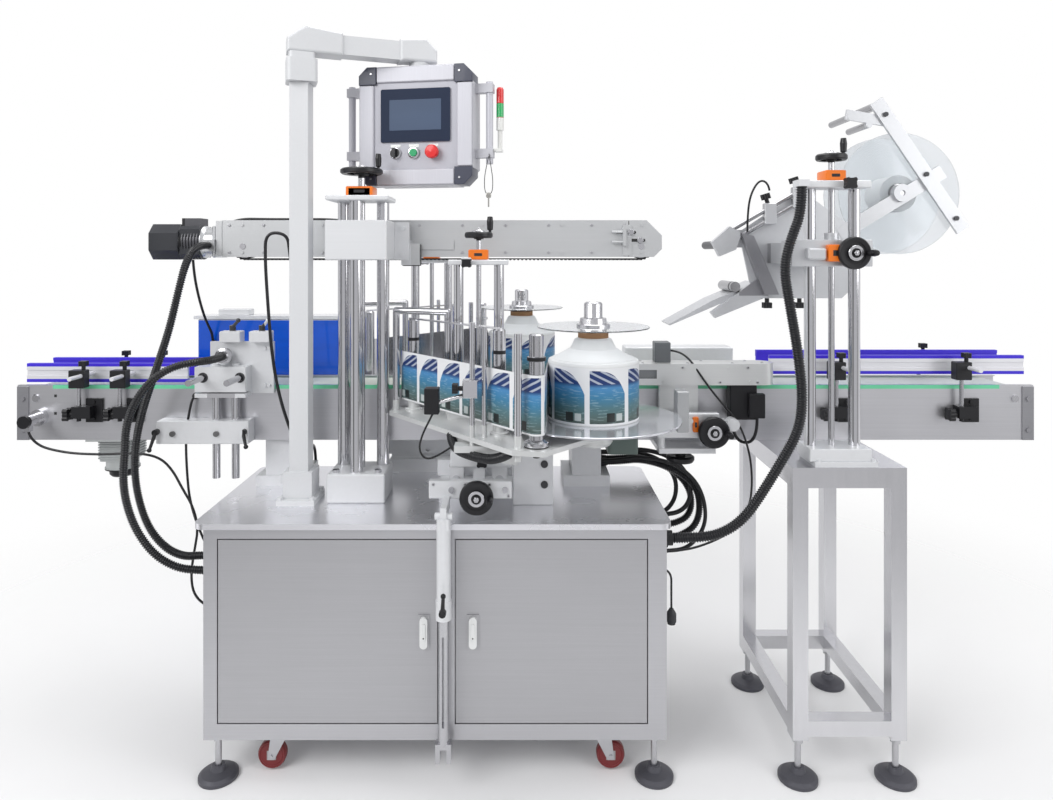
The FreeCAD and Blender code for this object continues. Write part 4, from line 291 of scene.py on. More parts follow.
def mix(tree, kind, sockets, output, values):
    """Mix node of a kind: factor and two values into its sockets, and one of its outputs."""
    node = add(tree, "ShaderNodeMix", data_type=kind)
    for socket, value in zip(sockets, values):
        feed(tree, node.inputs[socket], value)
    return node.outputs[output]


def mix_colour(tree, mask, first, second):
    """Second colour where the mask is 1."""
    first, second = (value if isinstance(value, bpy.types.NodeSocket) else (*value, 1) for value in (first, second))
    return mix(tree, "RGBA", (0, 6, 7), 2, (mask, first, second))


def mix_value(tree, mask, first, second):
    """Second number where the mask is 1."""
    return mix(tree, "FLOAT", (0, 2, 3), 0, (mask, first, second))


def ramp(tree, share, ends, stops):
    """Colour ramp over a share from 0 to 1: its two end colours and (place, colour) stops between."""
    node = add(tree, "ShaderNodeValToRGB")
    elements = node.color_ramp.elements
    for element, colour in zip(elements, ends):
        element.color = (*colour, 1)
    for place, colour in stops:
        elements.new(place).color = (*colour, 1)
    feed(tree, node.inputs[0], share)
    return node


def grain_group():
    """Brushed grain: noise stretched by a vector, as a shade near 1 and a height."""
    group, source, sink = new_group(
        "brushed_grain", [("Point", "NodeSocketVector", None), ("Stretch", "NodeSocketVector", (1, 1, 1)),
                          ("Contrast", "NodeSocketFloat", 0.1)], ["Shade", "Height"])
    scaled = vector_node(group, "MULTIPLY", source.outputs["Point"], source.outputs["Stretch"])
    height = noise(group, scaled.outputs[0], 3.0)
    swing = product(group, math_node(group, "SUBTRACT", height, 0.5), source.outputs["Contrast"])
    feed(group, sink.inputs["Shade"], math_node(group, "ADD", swing, 1.0))
    feed(group, sink.inputs["Height"], height)
    return group


def zone_group():
    """Mask that is 1 inside a box: the least of the distances to its six sides, cut sharply."""
    group, source, sink = new_group(
        "zone_mask", [("Point", "NodeSocketVector", None), ("Low", "NodeSocketVector", (0, 0, 0)),
                      ("High", "NodeSocketVector", (1, 1, 1))], ["Mask"])
    distances = []
    for first, second in (("Point", "Low"), ("High", "Point")):
        gap = vector_node(group, "SUBTRACT", source.outputs[first], source.outputs[second])
        distances += separate(group, gap.outputs[0])
    least = distances[0]
    for distance in distances[1:]:
        least = math_node(group, "MINIMUM", least, distance)
    feed(group, sink.inputs["Mask"], math_node(group, "GREATER_THAN", least, 0.0))
    return group


def smudge_group():
    """Large soft noise: faint darker patches where hands and years have dulled a surface."""
    group, source, sink = new_group(
        "smudge", [("Point", "NodeSocketVector", None), ("Size", "NodeSocketFloat", 6.0),
                   ("Amount", "NodeSocketFloat", 0.06)], ["Shade", "Rough"])
    wander = noise(group, source.outputs["Point"], 5.0, source.outputs["Size"])
    swing = product(group, math_node(group, "SUBTRACT", wander, 0.5), source.outputs["Amount"])
    feed(group, sink.inputs["Shade"], math_node(group, "ADD", swing, 1.0))
    feed(group, sink.inputs["Rough"], swing)
    return group


def use_group(tree, group, **inputs):
    """Group node with constant or linked inputs."""
    node = tree.nodes.new("ShaderNodeGroup")
    node.node_tree = group
    for label, value in inputs.items():
        feed(tree, node.inputs[label], value)
    return node


SHARED = {}


def finish(name, colour, rough, metal=0.0, stretch=None, contrast=0.1, bump=0.0, smudge=0.06, zones=(),
           clear=0.0, coat=0.0, ior=1.45):
    """Procedural material, made once under its name.

    Stretch, contrast and bump are the grain's. Zones are (low, high, colour, roughness, metallic)
    boxes in drawing millimetres."""
    if name in SHARED:
        return SHARED[name]
    material = SHARED[name] = bpy.data.materials.new(name)
    material.use_nodes = True
    tree = material.node_tree
    shader = tree.nodes["Principled BSDF"]
    for label, value in (("IOR", ior), ("Coat Weight", coat), ("Transmission Weight", clear)):
        shader.inputs[label].default_value = value
    point = add(tree, "ShaderNodeTexCoord").outputs["Object"]
    worn = use_group(tree, SHARED["smudge"], Point=point, Amount=smudge)
    shade = worn.outputs["Shade"]
    if stretch:
        grain = use_group(tree, SHARED["grain"], Point=point, Stretch=stretch, Contrast=contrast)
        shade = product(tree, shade, grain.outputs["Shade"])
        if bump:
            dent = add(tree, "ShaderNodeBump")
            for label, value in (("Strength", bump), ("Distance", DENT_DEPTH), ("Height", grain.outputs["Height"])):
                feed(tree, dent.inputs[label], value)
            feed(tree, shader.inputs["Normal"], dent.outputs[0])
    for low, high, zone_colour, zone_rough, zone_metal in zones:
        mask = use_group(tree, SHARED["zone"], Point=point, Low=tuple(at(*low)), High=tuple(at(*high))).outputs[0]
        colour = mix_colour(tree, mask, colour, zone_colour)
        rough = mix_value(tree, mask, rough, zone_rough)
        metal = mix_value(tree, mask, metal, zone_metal)
    shaded = vector_node(tree, "SCALE", colour)
    feed(tree, shaded.inputs["Scale"], shade)
    feed(tree, shader.inputs["Base Color"], shaded.outputs[0])
    feed(tree, shader.inputs["Roughness"], math_node(tree, "ADD", worn.outputs["Rough"], rough, clamp=True))
    feed(tree, shader.inputs["Metallic"], metal)
    return material


def zinc():
    """Finish of all screws."""
    return finish("zinc_screw", STEEL, 0.3, 1.0, FINE)


def band(axis, low, high, colour, rough, metal):
    """Zone between two heights along one axis, 0 for X, 1 for depth and 2 for Z."""
    a, b = [-EVERYWHERE] * 3, [EVERYWHERE] * 3
    a[axis], b[axis] = low, high
    return tuple(a), tuple(b), colour, rough, metal


def around(x, y, z, reach, colour, rough, metal):
    """Zone of a box about a point, with its reach to each side."""
    rx, ry, rz = reach
    return (x - rx, y - ry, z - rz), (x + rx, y + ry, z + rz), colour, rough, metal


def dress(node, *looks, **more):
    """Gives a carried-over node its material: one that is made, or what finish takes."""
    material = looks[0] if isinstance(looks[0], bpy.types.Material) else finish(*looks, **more)
    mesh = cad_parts[node].data
    mesh.materials.clear()
    mesh.materials.append(material)


class MachineSettings(bpy.types.PropertyGroup):
    """Colours and sizes that a user would change."""

    steel: FloatVectorProperty(name="Stainless steel", description="Colour of cabinet and conveyor sheet",
                               subtype="COLOR", default=(0.50, 0.50, 0.52), min=0, max=1)
    paint: FloatVectorProperty(name="Light paint", description="Colour of the pole, boom and hold-down housing",
                               subtype="COLOR", default=(0.66, 0.67, 0.69), min=0, max=1)
    rail: FloatVectorProperty(name="Rail blue", description="Colour of the guide rails' wear strips",
                              subtype="COLOR", default=(0.05, 0.025, 0.62), min=0, max=1)
    film: FloatVectorProperty(name="Film blue", description="Colour of the film on the rear box",
                              subtype="COLOR", default=(0.0, 0.09, 0.62), min=0, max=1)
    label_top: FloatVectorProperty(name="Label top", description="Colour at the top of the printed labels",
                                   subtype="COLOR", default=(0.012, 0.03, 0.13), min=0, max=1)
    label_low: FloatVectorProperty(name="Label bottom", description="Colour at the bottom of the labels",
                                   subtype="COLOR", default=(0.03, 0.05, 0.05), min=0, max=1)
    hose_pitch: FloatProperty(name="Hose pitch", description="Distance from rib to rib of the hoses",
                              default=0.0066, unit="LENGTH", min=0.003, max=0.02)
    label_pitch: FloatProperty(name="Label pitch", description="Distance from label to label on the web",
                               default=0.104, unit="LENGTH", min=0.03, max=0.3)


class PieceOperator:
    """What the piece operators share: undo and no options."""

    bl_options = {"REGISTER", "UNDO"}

    @property
    def settings(self):
        return bpy.context.scene.labeling_machine


class LM_OT_groups(PieceOperator, bpy.types.Operator):
    """Builds the shader groups that the materials share."""

    bl_idname = "labeling.groups"
    bl_label = "Shader groups"

    def execute(self, context):
        SHARED.update(grain=grain_group(), zone=zone_group(), smudge=smudge_group())
        return {"FINISHED"}


class LM_OT_sheet_metal(PieceOperator, bpy.types.Operator):
    """Finishes of the cabinet, table, stand and conveyor."""

    bl_idname = "labeling.sheet_metal"
    bl_label = "Sheet metal finishes"

    def execute(self, context):
        steel = tuple(self.settings.steel)
        rubber = (BLACK, 0.5, 0.0)
        dress("cabinet_shell", "brushed_cabinet", steel, 0.36, 0.85, (6, 6, 500), 0.12, 0.03,
              zones=[band(0, -900, -828.3, *rubber), band(0, 361.3, 420, *rubber)])
        # The doors take a darker copy of the cabinet steel: painted shade for how the light falls on them.
        shaded_door_steel = tuple(0.86 * c for c in steel)
        for side in ("left", "right"):
            dress(side + "_door", "brushed_door", shaded_door_steel, 0.42, 0.6, (4, 4, 420), 0.12, 0.03)
            self.latch(side)
        dress("table_top", "brushed_table", (0.80, 0.80, 0.83), 0.27, 0.9, (5, 90, 40), 0.1, 0.004)
        dress("stand_frame", "brushed_tube", (0.66, 0.66, 0.68), 0.26, 1.0, (90, 90, 8), 0.1, 0.02)
        dress("levelling_feet", "foot_pad", (0.085, 0.085, 0.10), 0.45, 0.3, FINE, 0.2, 0.1,
              zones=[band(2, 33, 130, STEEL, 0.3, 1.0)])
        # The conveyor panels take a lighter copy of the cabinet steel: painted light for how the light falls on them.
        self.conveyor(tuple(1.22 * c for c in steel))
        for node, x, y in (("castor_front_left", -669, 60), ("castor_front_right", 223, 60),
                           ("castor_rear_left", -669, 430), ("castor_rear_right", 223, 430)):
            wheel = (x - 38, y - 13.15, 0), (x + 38, y + 13.15, 78.3), (0.17, 0.018, 0.02), 0.38, 0.0
            hub = around(x, y, 41, (12, 13.15, 12), (0.4, 0.4, 0.4), 0.4, 0.6)
            dress(node, node + "_finish", STEEL, 0.3, 0.9, (60, 60, 60), zones=[wheel, hub])
        return {"FINISHED"}

    def latch(self, side):
        """White latch with a raised lever and a keyhole drawn as a dark disc of painted shade."""
        enamel = finish("latch_enamel", (0.74, 0.75, 0.75), 0.3, 0.0, MEDIUM, 0.04, 0.02, coat=0.2)
        node, body = side + "_door_latch", side + "_latch"
        dress(node, enamel)
        low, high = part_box(node)
        x, y, z = (low.x + high.x) / 2, low.y, (low.z + high.z) / 2
        build(node + "_lever", [slab(rounded(11, 44, 5.4, 9), (x, y, z), FRONT, -0.5, 1.6, 0.9)], enamel, body)
        # The keyhole is a near-black disc: painted shade where the hole is.
        keyhole = lathe([(0, 1.4), (1.9, 1.4), (1.9, 1.9), (0, 1.9)], (x, y, z - 0.015), FRONT, 20)
        build(node + "_keyhole", [keyhole], finish("keyhole", (0.03, 0.03, 0.03), 0.5), body)

    def conveyor(self, sheet):
        """Side panels with their end tabs, holes darkened with painted shade and green strip, then belt, rollers and
        motor.
        """
        tab = ((0.30, 0.30, 0.32), 0.4, 0.6)
        # Near-black squares at the front panel's holes: painted shade inside the holes.
        painted_hole_shade = ((0.02, 0.02, 0.02), 0.6, 0.0)
        green = (-1396, 280, 961), (1400, 292.5, 990), (0.16, 0.62, 0.36), 0.35, 0.0
        holes = [around(x, 288, z, (4, 2, 4), *painted_hole_shade) for x in (-1449, -1388) for z in (940, 888)]
        for side, rough, near, far, more in (("front", 0.33, 280, 287.9, [green] + holes),
                                             ("rear", 0.35, 478, 490, [])):
            tabs = [((low, near, 700), (high, far, 990), *tab) for low, high in ((-1501, -1465.8), (1465.8, 1501))]
            # Their colour is that lighter copy of the cabinet steel, which is painted light.
            dress("conveyor_%s_panel" % side, "brushed_%s_panel" % side, sheet, rough, 0.85, (3, 60, 330), 0.12,
                  0.03, zones=tabs + more)
        green_edge = ((0.16, 0.55, 0.33), 0.5, 0.0)
        dress("conveyor_belt", "belt_cover", (0.66, 0.70, 0.64), 0.55, 0.0, (220, 220, 220), 0.08, 0.05,
              zones=[band(1, 300, 309.5, *green_edge), band(1, 456.5, 470, *green_edge)])
        turned = (POLISHED, 0.25, 1.0, (30, 500, 30), 0.1, 0.02)
        for node in ("conveyor_drive_roller", "conveyor_idler_roller", "hold_down_drive_pulley",
                     "hold_down_idler_pulley"):
            dress(node, "turned_alloy", *turned)
        dress("belt_encoder", "encoder_finish", *turned, zones=[band(1, 200, 223, BLACK, 0.4, 0.0)])
        dress("conveyor_gear_motor", "cast_motor", (0.50, 0.52, 0.52), 0.45, 0.6, COARSE, 0.1, 0.04,
              zones=[band(2, 600, 706, BLACK, 0.4, 0.0)])


class LM_OT_machined_finishes(PieceOperator, bpy.types.Operator):
    """Finishes of the towers, masts, slides, heads, painted parts and guide rails."""

    bl_idname = "labeling.machined_finishes"
    bl_label = "Machined finishes"

    black = (BLACK, 0.42, 0.0)
    column = (POLISHED, 0.13, 1.0)
    anodised = dict(stretch=(90, 90, 90), contrast=0.06, bump=0.02)

    def execute(self, context):
        black, column = self.black, self.column
        dress("conveyor_supports", "white_anodised", WHITE, 0.36, 0.25, **self.anodised)
        self.fixed_parts()
        self.heads()
        dress("wrap_unit", "wrap_finish", (0.68, 0.69, 0.69), 0.34, 0.55, (3, 40, 240), 0.08, 0.02,
              zones=[((589, 235, 800), (690, 275, 980.7), *black), ((638, 210, 880), (690, 240, 960), *black),
                     ((376, 250, 1042.3), (426, 310, 1110), (0.14, 0.15, 0.16), 0.4, 0.2),
                     ((322, 220, 1000), (378, 238.2, 1025), (0.25, 0.26, 0.27), 0.2, 0.4)])
        dress("front_feed_roller", "feed_roller_finish", STEEL, 0.22, 1.0, (300, 300, 20), 0.08, 0.01,
              zones=[band(2, 1109.5, 1118.5, *black), band(2, 880, 912, *black)])
        for node in ("pole", "boom_arm"):
            dress(node, "light_paint", tuple(self.settings.paint), 0.42, 0.0, (160, 160, 160), 0.05, 0.03, coat=0.15)
        lid = (WHITE, 0.4, 0.2)
        dress("rear_enclosure", "film_wrap", tuple(self.settings.film), 0.22, 0.0, (14, 14, 60), 0.25, 0.05,
              coat=0.5, zones=[band(2, 1146, 1250, *lid), band(2, 700, 956, *lid)])
        self.rails()
        collar = [(9.4, 0), (14.5, 0), (14.5, 2.2), (13.6, 3.2), (10.4, 3.2), (9.4, 2.4), (9.4, 0)]
        build("cross_rod_bushes", [lathe(collar, at(x, 225.9, 1004), FRONT, 32) for x in (-926, -820)],
              finish("rod_bush", (0.05, 0.05, 0.055), 0.4, 0.2, FINE), BASE)
        self.small_screws()
        return {"FINISHED"}

    def fixed_parts(self):
        """Towers, mast, slide bases and side unit: white blocks, bright columns, black knobs."""
        black, column = self.black, self.column
        dark = ((0.06, 0.06, 0.065), 0.4, 0.4)
        side_screw = ((0.2, 0.2, 0.2), 0.3, 0.8)
        rod = (STEEL, 0.12, 1.0)
        bright = (STEEL, 0.25, 1.0)
        side_unit = [((-1100, 180, 780), (-1040, 237.6, 860), *black), ((-812, 180, 790), (-770, 237.6, 862), *black),
                     ((-940, 100, 994), (-911, 225.8, 1014), *rod), ((-830, 100, 994), (-810, 225.8, 1014), *rod),
                     ((-880, 200, 1134.3), (-760, 300, 1200), (0.06, 0.06, 0.065), 0.3, 0.4),
                     around(-1018, 234, 840, (8.2, 3.9, 8.2), *side_screw),
                     around(-892, 234, 840, (8.2, 3.9, 8.2), *side_screw),
                     ((-900, 200, 1044), (-852, 273, 1087), STEEL, 0.22, 1.0),
                     ((-915, 0, 700), (-889, 290, 809.8), *column), ((-859, 0, 700), (-833, 290, 809.8), *column),
                     ((-914, 0, 876.5), (-834, 290, 958), *column)]
        mast = [((-220, 100, 822.5), (-30, 190, 1328.8), *column), ((-178, 80, 1300), (-140, 116, 1345), *black),
                ((-140, 70, 780), (-98, 120.8, 822), *black)]
        slide = [((-240, -90, 440), (-180, -54.4, 540), *black), ((-232, -60, 60), (-184, -10, 439.5), *bright),
                 ((-250, 74.5, 715), (-40, 251.5, 760), *column)]
        slide += [around(51, 131, z, (11, 2.9, 11), *dark) for z in (726, 782)]
        slide += [around(x, 46, 738, (8.5, 3.9, 8.5), *bright) for x in (-196, -55)]
        tower = [((740, 20, 854.5), (880, 100, 1530.6), *column), ((812, -20, 1525), (850, 19.8, 1560), *black)]
        for node, name, rough, metal, zones in (
                ("tower_frame", "tower_finish", 0.34, 0.3, [band(2, 749.5, 1507.8, *column)]),
                ("side_post_unit", "side_unit_finish", 0.36, 0.25, side_unit),
                ("front_mast", "mast_finish", 0.34, 0.3, mast),
                ("cross_slide_base", "slide_finish", 0.34, 0.3, slide),
                ("wrap_base", "wrap_base_finish", 0.34, 0.35, [around(446, 236, 779, (44, 44, 22), *black)]),
                ("top_tower", "top_tower_finish", 0.34, 0.3, tower)):
            dress(node, name, WHITE, rough, metal, zones=zones, **self.anodised)

    def heads(self):
        """Three labelling heads: grey plates, bright rods, black knobs and rubber rings."""
        black = self.black
        rod = ((0.42, 0.42, 0.43), 0.2, 1.0)
        dark = ((0.05, 0.052, 0.058), 0.35, 0.2)
        top = [((790, -62, 1316), (890, 2.6, 1410), *black), ((604, 273.8, 1380), (812, 286.2, 1560), *rod),
               ((690, 262, 1508.3), (735, 296, 1545), *black), ((775, 262, 1556.3), (820, 296, 1592), *black),
               ((696, 276, 1195), (740, 316, 1227.8), *black), ((790, 276, 1195), (834, 316, 1227.8), *black),
               ((630, 262, 1236), (745, 291.5, 1424), (0.30, 0.30, 0.32), 0.3, 0.7),
               ((1026, 300.5, 1784), (1054, 430, 1812), *rod), ((950, 300.5, 1752), (974, 430, 1776), *rod),
               ((1004, 300.5, 1730), (1028, 430, 1754), *rod), ((553, 297, 1373), (579, 430, 1399), *dark),
               ((604, 283, 1246), (636, 430, 1278), *rod), ((604, 300, 1246), (636, 316, 1278), *dark)]
        top += [((x - 9, 270, z - 9), (x + 9, 281.7, z + 9), *dark) for x, z in ((1060, 1770), (1180, 1594), (1268, 1464))]
        rear = [band(2, 820, 1330, POLISHED, 0.2, 0.9), around(-316, 616, 1420, (46, 46, 40), *black),
                around(-316, 616, 1357, (28, 30, 13.5), ORANGE, 0.34, 0.0), around(-314, 768, 729, (46, 19, 46), *black),
                ((-437, 827, 965), (-399.7, 859, 1031), *black), ((-372, 826, 1010), (-342.3, 862, 1046), *black)]
        front = [band(2, 938, 1240, POLISHED, 0.16, 1.0), ((-186, -96, 1010), (-156.3, -60, 1046), *black),
                 ((-251, -93, 965), (-213.7, -61, 1031), *black),
                 ((404, 60, 870), (440, 140, 1000), (0.45, 0.46, 0.47), 0.35, 0.6),
                 ((216, 50, 820), (300, 150, 896.5), (0.10, 0.13, 0.12), 0.45, 0.3)]
        front += [around(x, y, 1114, (17, 17, 4.5), *black) for x, y in ((-323, 242), (-67, -49))]
        for node, name, colour, metal, zones in (
                ("top_head", "top_head_finish", (0.60, 0.61, 0.63), 0.6, top),
                ("rear_head", "rear_head_finish", WHITE, 0.35, rear),
                ("front_head_frame", "front_head_finish", (0.68, 0.69, 0.69), 0.45, front)):
            dress(node, name, colour, 0.34, metal, zones=zones, **self.anodised)

    def rails(self):
        """Guide rails with blue wear strips, and their brackets on bright posts."""
        blue = tuple(self.settings.rail)
        posts = []
        for side, low, xs in (("left", 976, (-1306, -1186)), ("right", 1000, (909, 1275))):
            posts += [((x - 6.3, 200, 914.4), (x + 6.3, 600, low - 8.3), STEEL, 0.2, 1.0) for x in xs]
            strips = [band(2, low + first, low + last, blue, 0.4, 0.0) for first, last in ((-1, 9.5), (46.5, 57))]
            dress("front_%s_rail" % side, "front_%s_rail_finish" % side, (0.80, 0.80, 0.84), 0.3, 0.25,
                  (4, 200, 200), 0.08, 0.02, zones=strips)
            dress("rear_%s_rail" % side, "rear_%s_rail_finish" % side, blue, 0.42, 0.0, (8, 90, 90),
                  zones=[band(1, 455, 620, STEEL, 0.3, 0.9)])
        dress("rail_brackets", "moulded_black", BLACK, 0.42, 0.0, (260, 260, 260), 0.3, 0.06, coat=0.05, zones=posts)

    def small_screws(self):
        """Socket screws on covers, blocks and plates, each a rounded disc with its socket drawn as a dark hexagon of
        painted shade.
        """
        # Near-black hexagons stand for the sockets' recesses: painted shade.
        socket = finish("screw_socket", (0.03, 0.03, 0.032), 0.5, 0.2, FINE)
        head = [(0, 0), (4.2, 0), (4.2, 1.6), (3.4, 2.4), (0, 2.4)]
        groups = (("wrap_unit", "wrap_slide", FRONT, [(640, 232, 1032), (668, 232, 990), (560, 232, 990),
                                                      (452, 232, 1032)]),
                  ("wrap_top", "wrap_slide", UP, [(340, 250, 1042), (340, 296, 1042), (470, 250, 1042),
                                                  (520, 296, 1042), (600, 250, 1042), (650, 296, 1042),
                                                  (690, 262, 1042)]),
                  ("slide", BASE, FRONT, [(-244, 50, 752), (-160, 50, 752), (-96, 50, 752), (-46, 50, 722)]),
                  ("pole_foot", BASE, UP, [(x, y, 683) for x in (-673, -589) for y in (134, 226)]),
                  ("top_plate", BASE, UP, [(760, 40, 1550), (864, 44, 1550), (864, 82, 1550)]))
        for tag, body, axis, places in groups:
            build(tag + "_screws", [lathe(head, at(*place), axis, 20) for place in places], zinc(), body)
            # The socket hexagons sit on the heads as painted shade of the recesses.
            build(tag + "_screw_sockets", [slab(hexagon(3.6), at(*place), axis, 2.2, 2.6, 0.1) for place in places],
                  socket, body)


class LM_OT_control_box(PieceOperator, bpy.types.Operator):
    """Operator box: case finish, edge bars, corner caps, screen, buttons and stack light."""

    bl_idname = "labeling.control_box"
    bl_label = "Operator box"

    turn = math.radians(-10)
    across = np.array([math.cos(turn), math.sin(turn), 0.0])
    inward = np.array([-math.sin(turn), math.cos(turn), 0.0])
    up = np.array([0.0, 0.0, 1.0])

    def execute(self, context):
        dress("control_box", "case_paint", (0.52, 0.52, 0.56), 0.42, 0.1, (160, 160, 160), 0.06, 0.03, coat=0.1)
        dress("stack_light", "lamp_lens", (0.75, 0.03, 0.03), 0.2, 0.0, (40, 40, 900), 0.25, 0.05, coat=0.6,
              zones=[band(2, 1650, 1761, (0.78, 0.78, 0.76), 0.35, 0.0),
                     band(2, 1762, 1803, (0.02, 0.42, 0.12), 0.2, 0.0)])
        for node, colour in (("selector_switch", (0.02, 0.02, 0.022)), ("start_button", (0.01, 0.36, 0.13)),
                             ("emergency_stop", (0.75, 0.02, 0.02))):
            dress(node, node + "_finish", colour, 0.28, 0.0, FINE, 0.08, 0.02, coat=0.3)
        self.case()
        self.face()
        return {"FINISHED"}

    def on_face(self, x, depth, z):
        """Point on the case front from sizes along it, into it and up, in millimetres."""
        return at(-315, 300, 0) + (self.across * x + self.inward * depth + self.up * z) / 1000

    def turned(self, grid, origin):
        """Slab that was made about the world's axes, laid on the case front from an origin."""
        points = grid[0]
        return origin + points @ np.array([self.across, self.inward, self.up]), False, True

    def panel(self, x0, x1, z0, z1, depth0, depth1, corner=3.0, edge=0.8):
        """Rounded plate that lies on the case front."""
        plate = slab(rounded(x1 - x0, z1 - z0, corner), (0, 0, 0), FRONT, 0, depth0 - depth1, edge)
        return self.turned(plate, self.on_face((x0 + x1) / 2, depth0, (z0 + z1) / 2))

    def put(self, name, grids, *looks, **more):
        """Piece of the box with its finish."""
        build(name, grids, finish(*looks, **more), "operator_box")

    def case(self):
        """Front panel, edge bars, the two handles, corner caps and screws."""
        self.put("case_front_panel", [self.panel(-128, 128, 1604, 1864, -33.2, -35.6, 4)],
                 "inner_panel", (0.47, 0.47, 0.52), 0.42, 0.1, MEDIUM, 0.05, 0.02)
        bars = [self.panel(-118, 118, z0, z1, -34, -43, 4, 3) for z0, z1 in ((1561, 1606), (1862, 1907))]
        bars += [self.panel(x0, x1, 1613, 1855, -34, -43, 4, 3) for x0, x1 in ((-171, -127), (127, 171))]
        handle = [(0, -119), (9.4, -119), (10.4, -118), (10.4, 118), (9.4, 119), (0, 119)]
        bars += [lathe(handle, self.on_face(x, 5, 1742), UP, 24) for x in (-212.5, 212.5)]
        self.put("case_edge_bars", bars, "edge_bar_alloy", (0.58, 0.58, 0.63), 0.38, 0.1, (300, 300, 12), 0.1, 0.02)
        corners = []
        for side in (-1, 1):
            for base, rise in ((1559.6, 1), (1908.4, -1)):
                outline = [(side * x, base + rise * z) for x, z in ((119, 0), (147, 0), (172, 25), (172, 52), (119, 52))]
                cap = slab(outline[::side * rise], (0, 0, 0), FRONT, -30, 45, 1.6)
                corners.append(self.turned(cap, self.on_face(0, 0, 0)))
        self.put("case_corner_caps", corners, "corner_slate", (0.05, 0.055, 0.085), 0.38, 0.0, MEDIUM, 0.1, 0.03,
                 coat=0.15)
        screws = [slab(hexagon(7), self.on_face(x, -44.6, z), -self.inward, 0, 2.4, 0.5)
                  for x in (-134, 134) for z in (1580, 1888)]
        build("case_screws", screws, zinc(), "operator_box")

    def face(self):
        """Screen in its frame, blank plates above the buttons, and a ring round each of them."""
        self.put("screen_frame", [self.panel(-105, 106, 1686, 1842, -39.5, -41.5, 5)],
                 "screen_bezel", (0.014, 0.024, 0.055), 0.55, 0.0, MEDIUM, 0.05, 0.02, ior=1.3)
        self.put("screen_glass", [self.panel(-78, 79, 1720, 1810, -41.4, -42.2, 2, 0.3)],
                 "screen_glass", (0.055, 0.085, 0.15), 0.42, 0.0, (2, 2, 9), 0.5, ior=1.35)
        self.put("legend_plates", [self.panel(x - 15, x + 15, 1671.5, 1680, -35, -36.4, 1, 0.3) for x in (-61, -5, 54)],
                 "legend_plate", (0.62, 0.63, 0.62), 0.3, 0.4)
        rings = []
        for x, tall in ((-61, 5.0), (-5, 5.0), (54, 1.6)):
            profile = [(12, 0), (16, 0), (17.5, tall * 0.3), (17.5, tall * 0.8), (16, tall), (12, tall), (12, 0)]
            rings.append(lathe(profile, self.on_face(x, -36.5, 1655), -self.inward, 40))
        self.put("button_rings", rings, "button_ring", POLISHED, 0.2, 1.0)


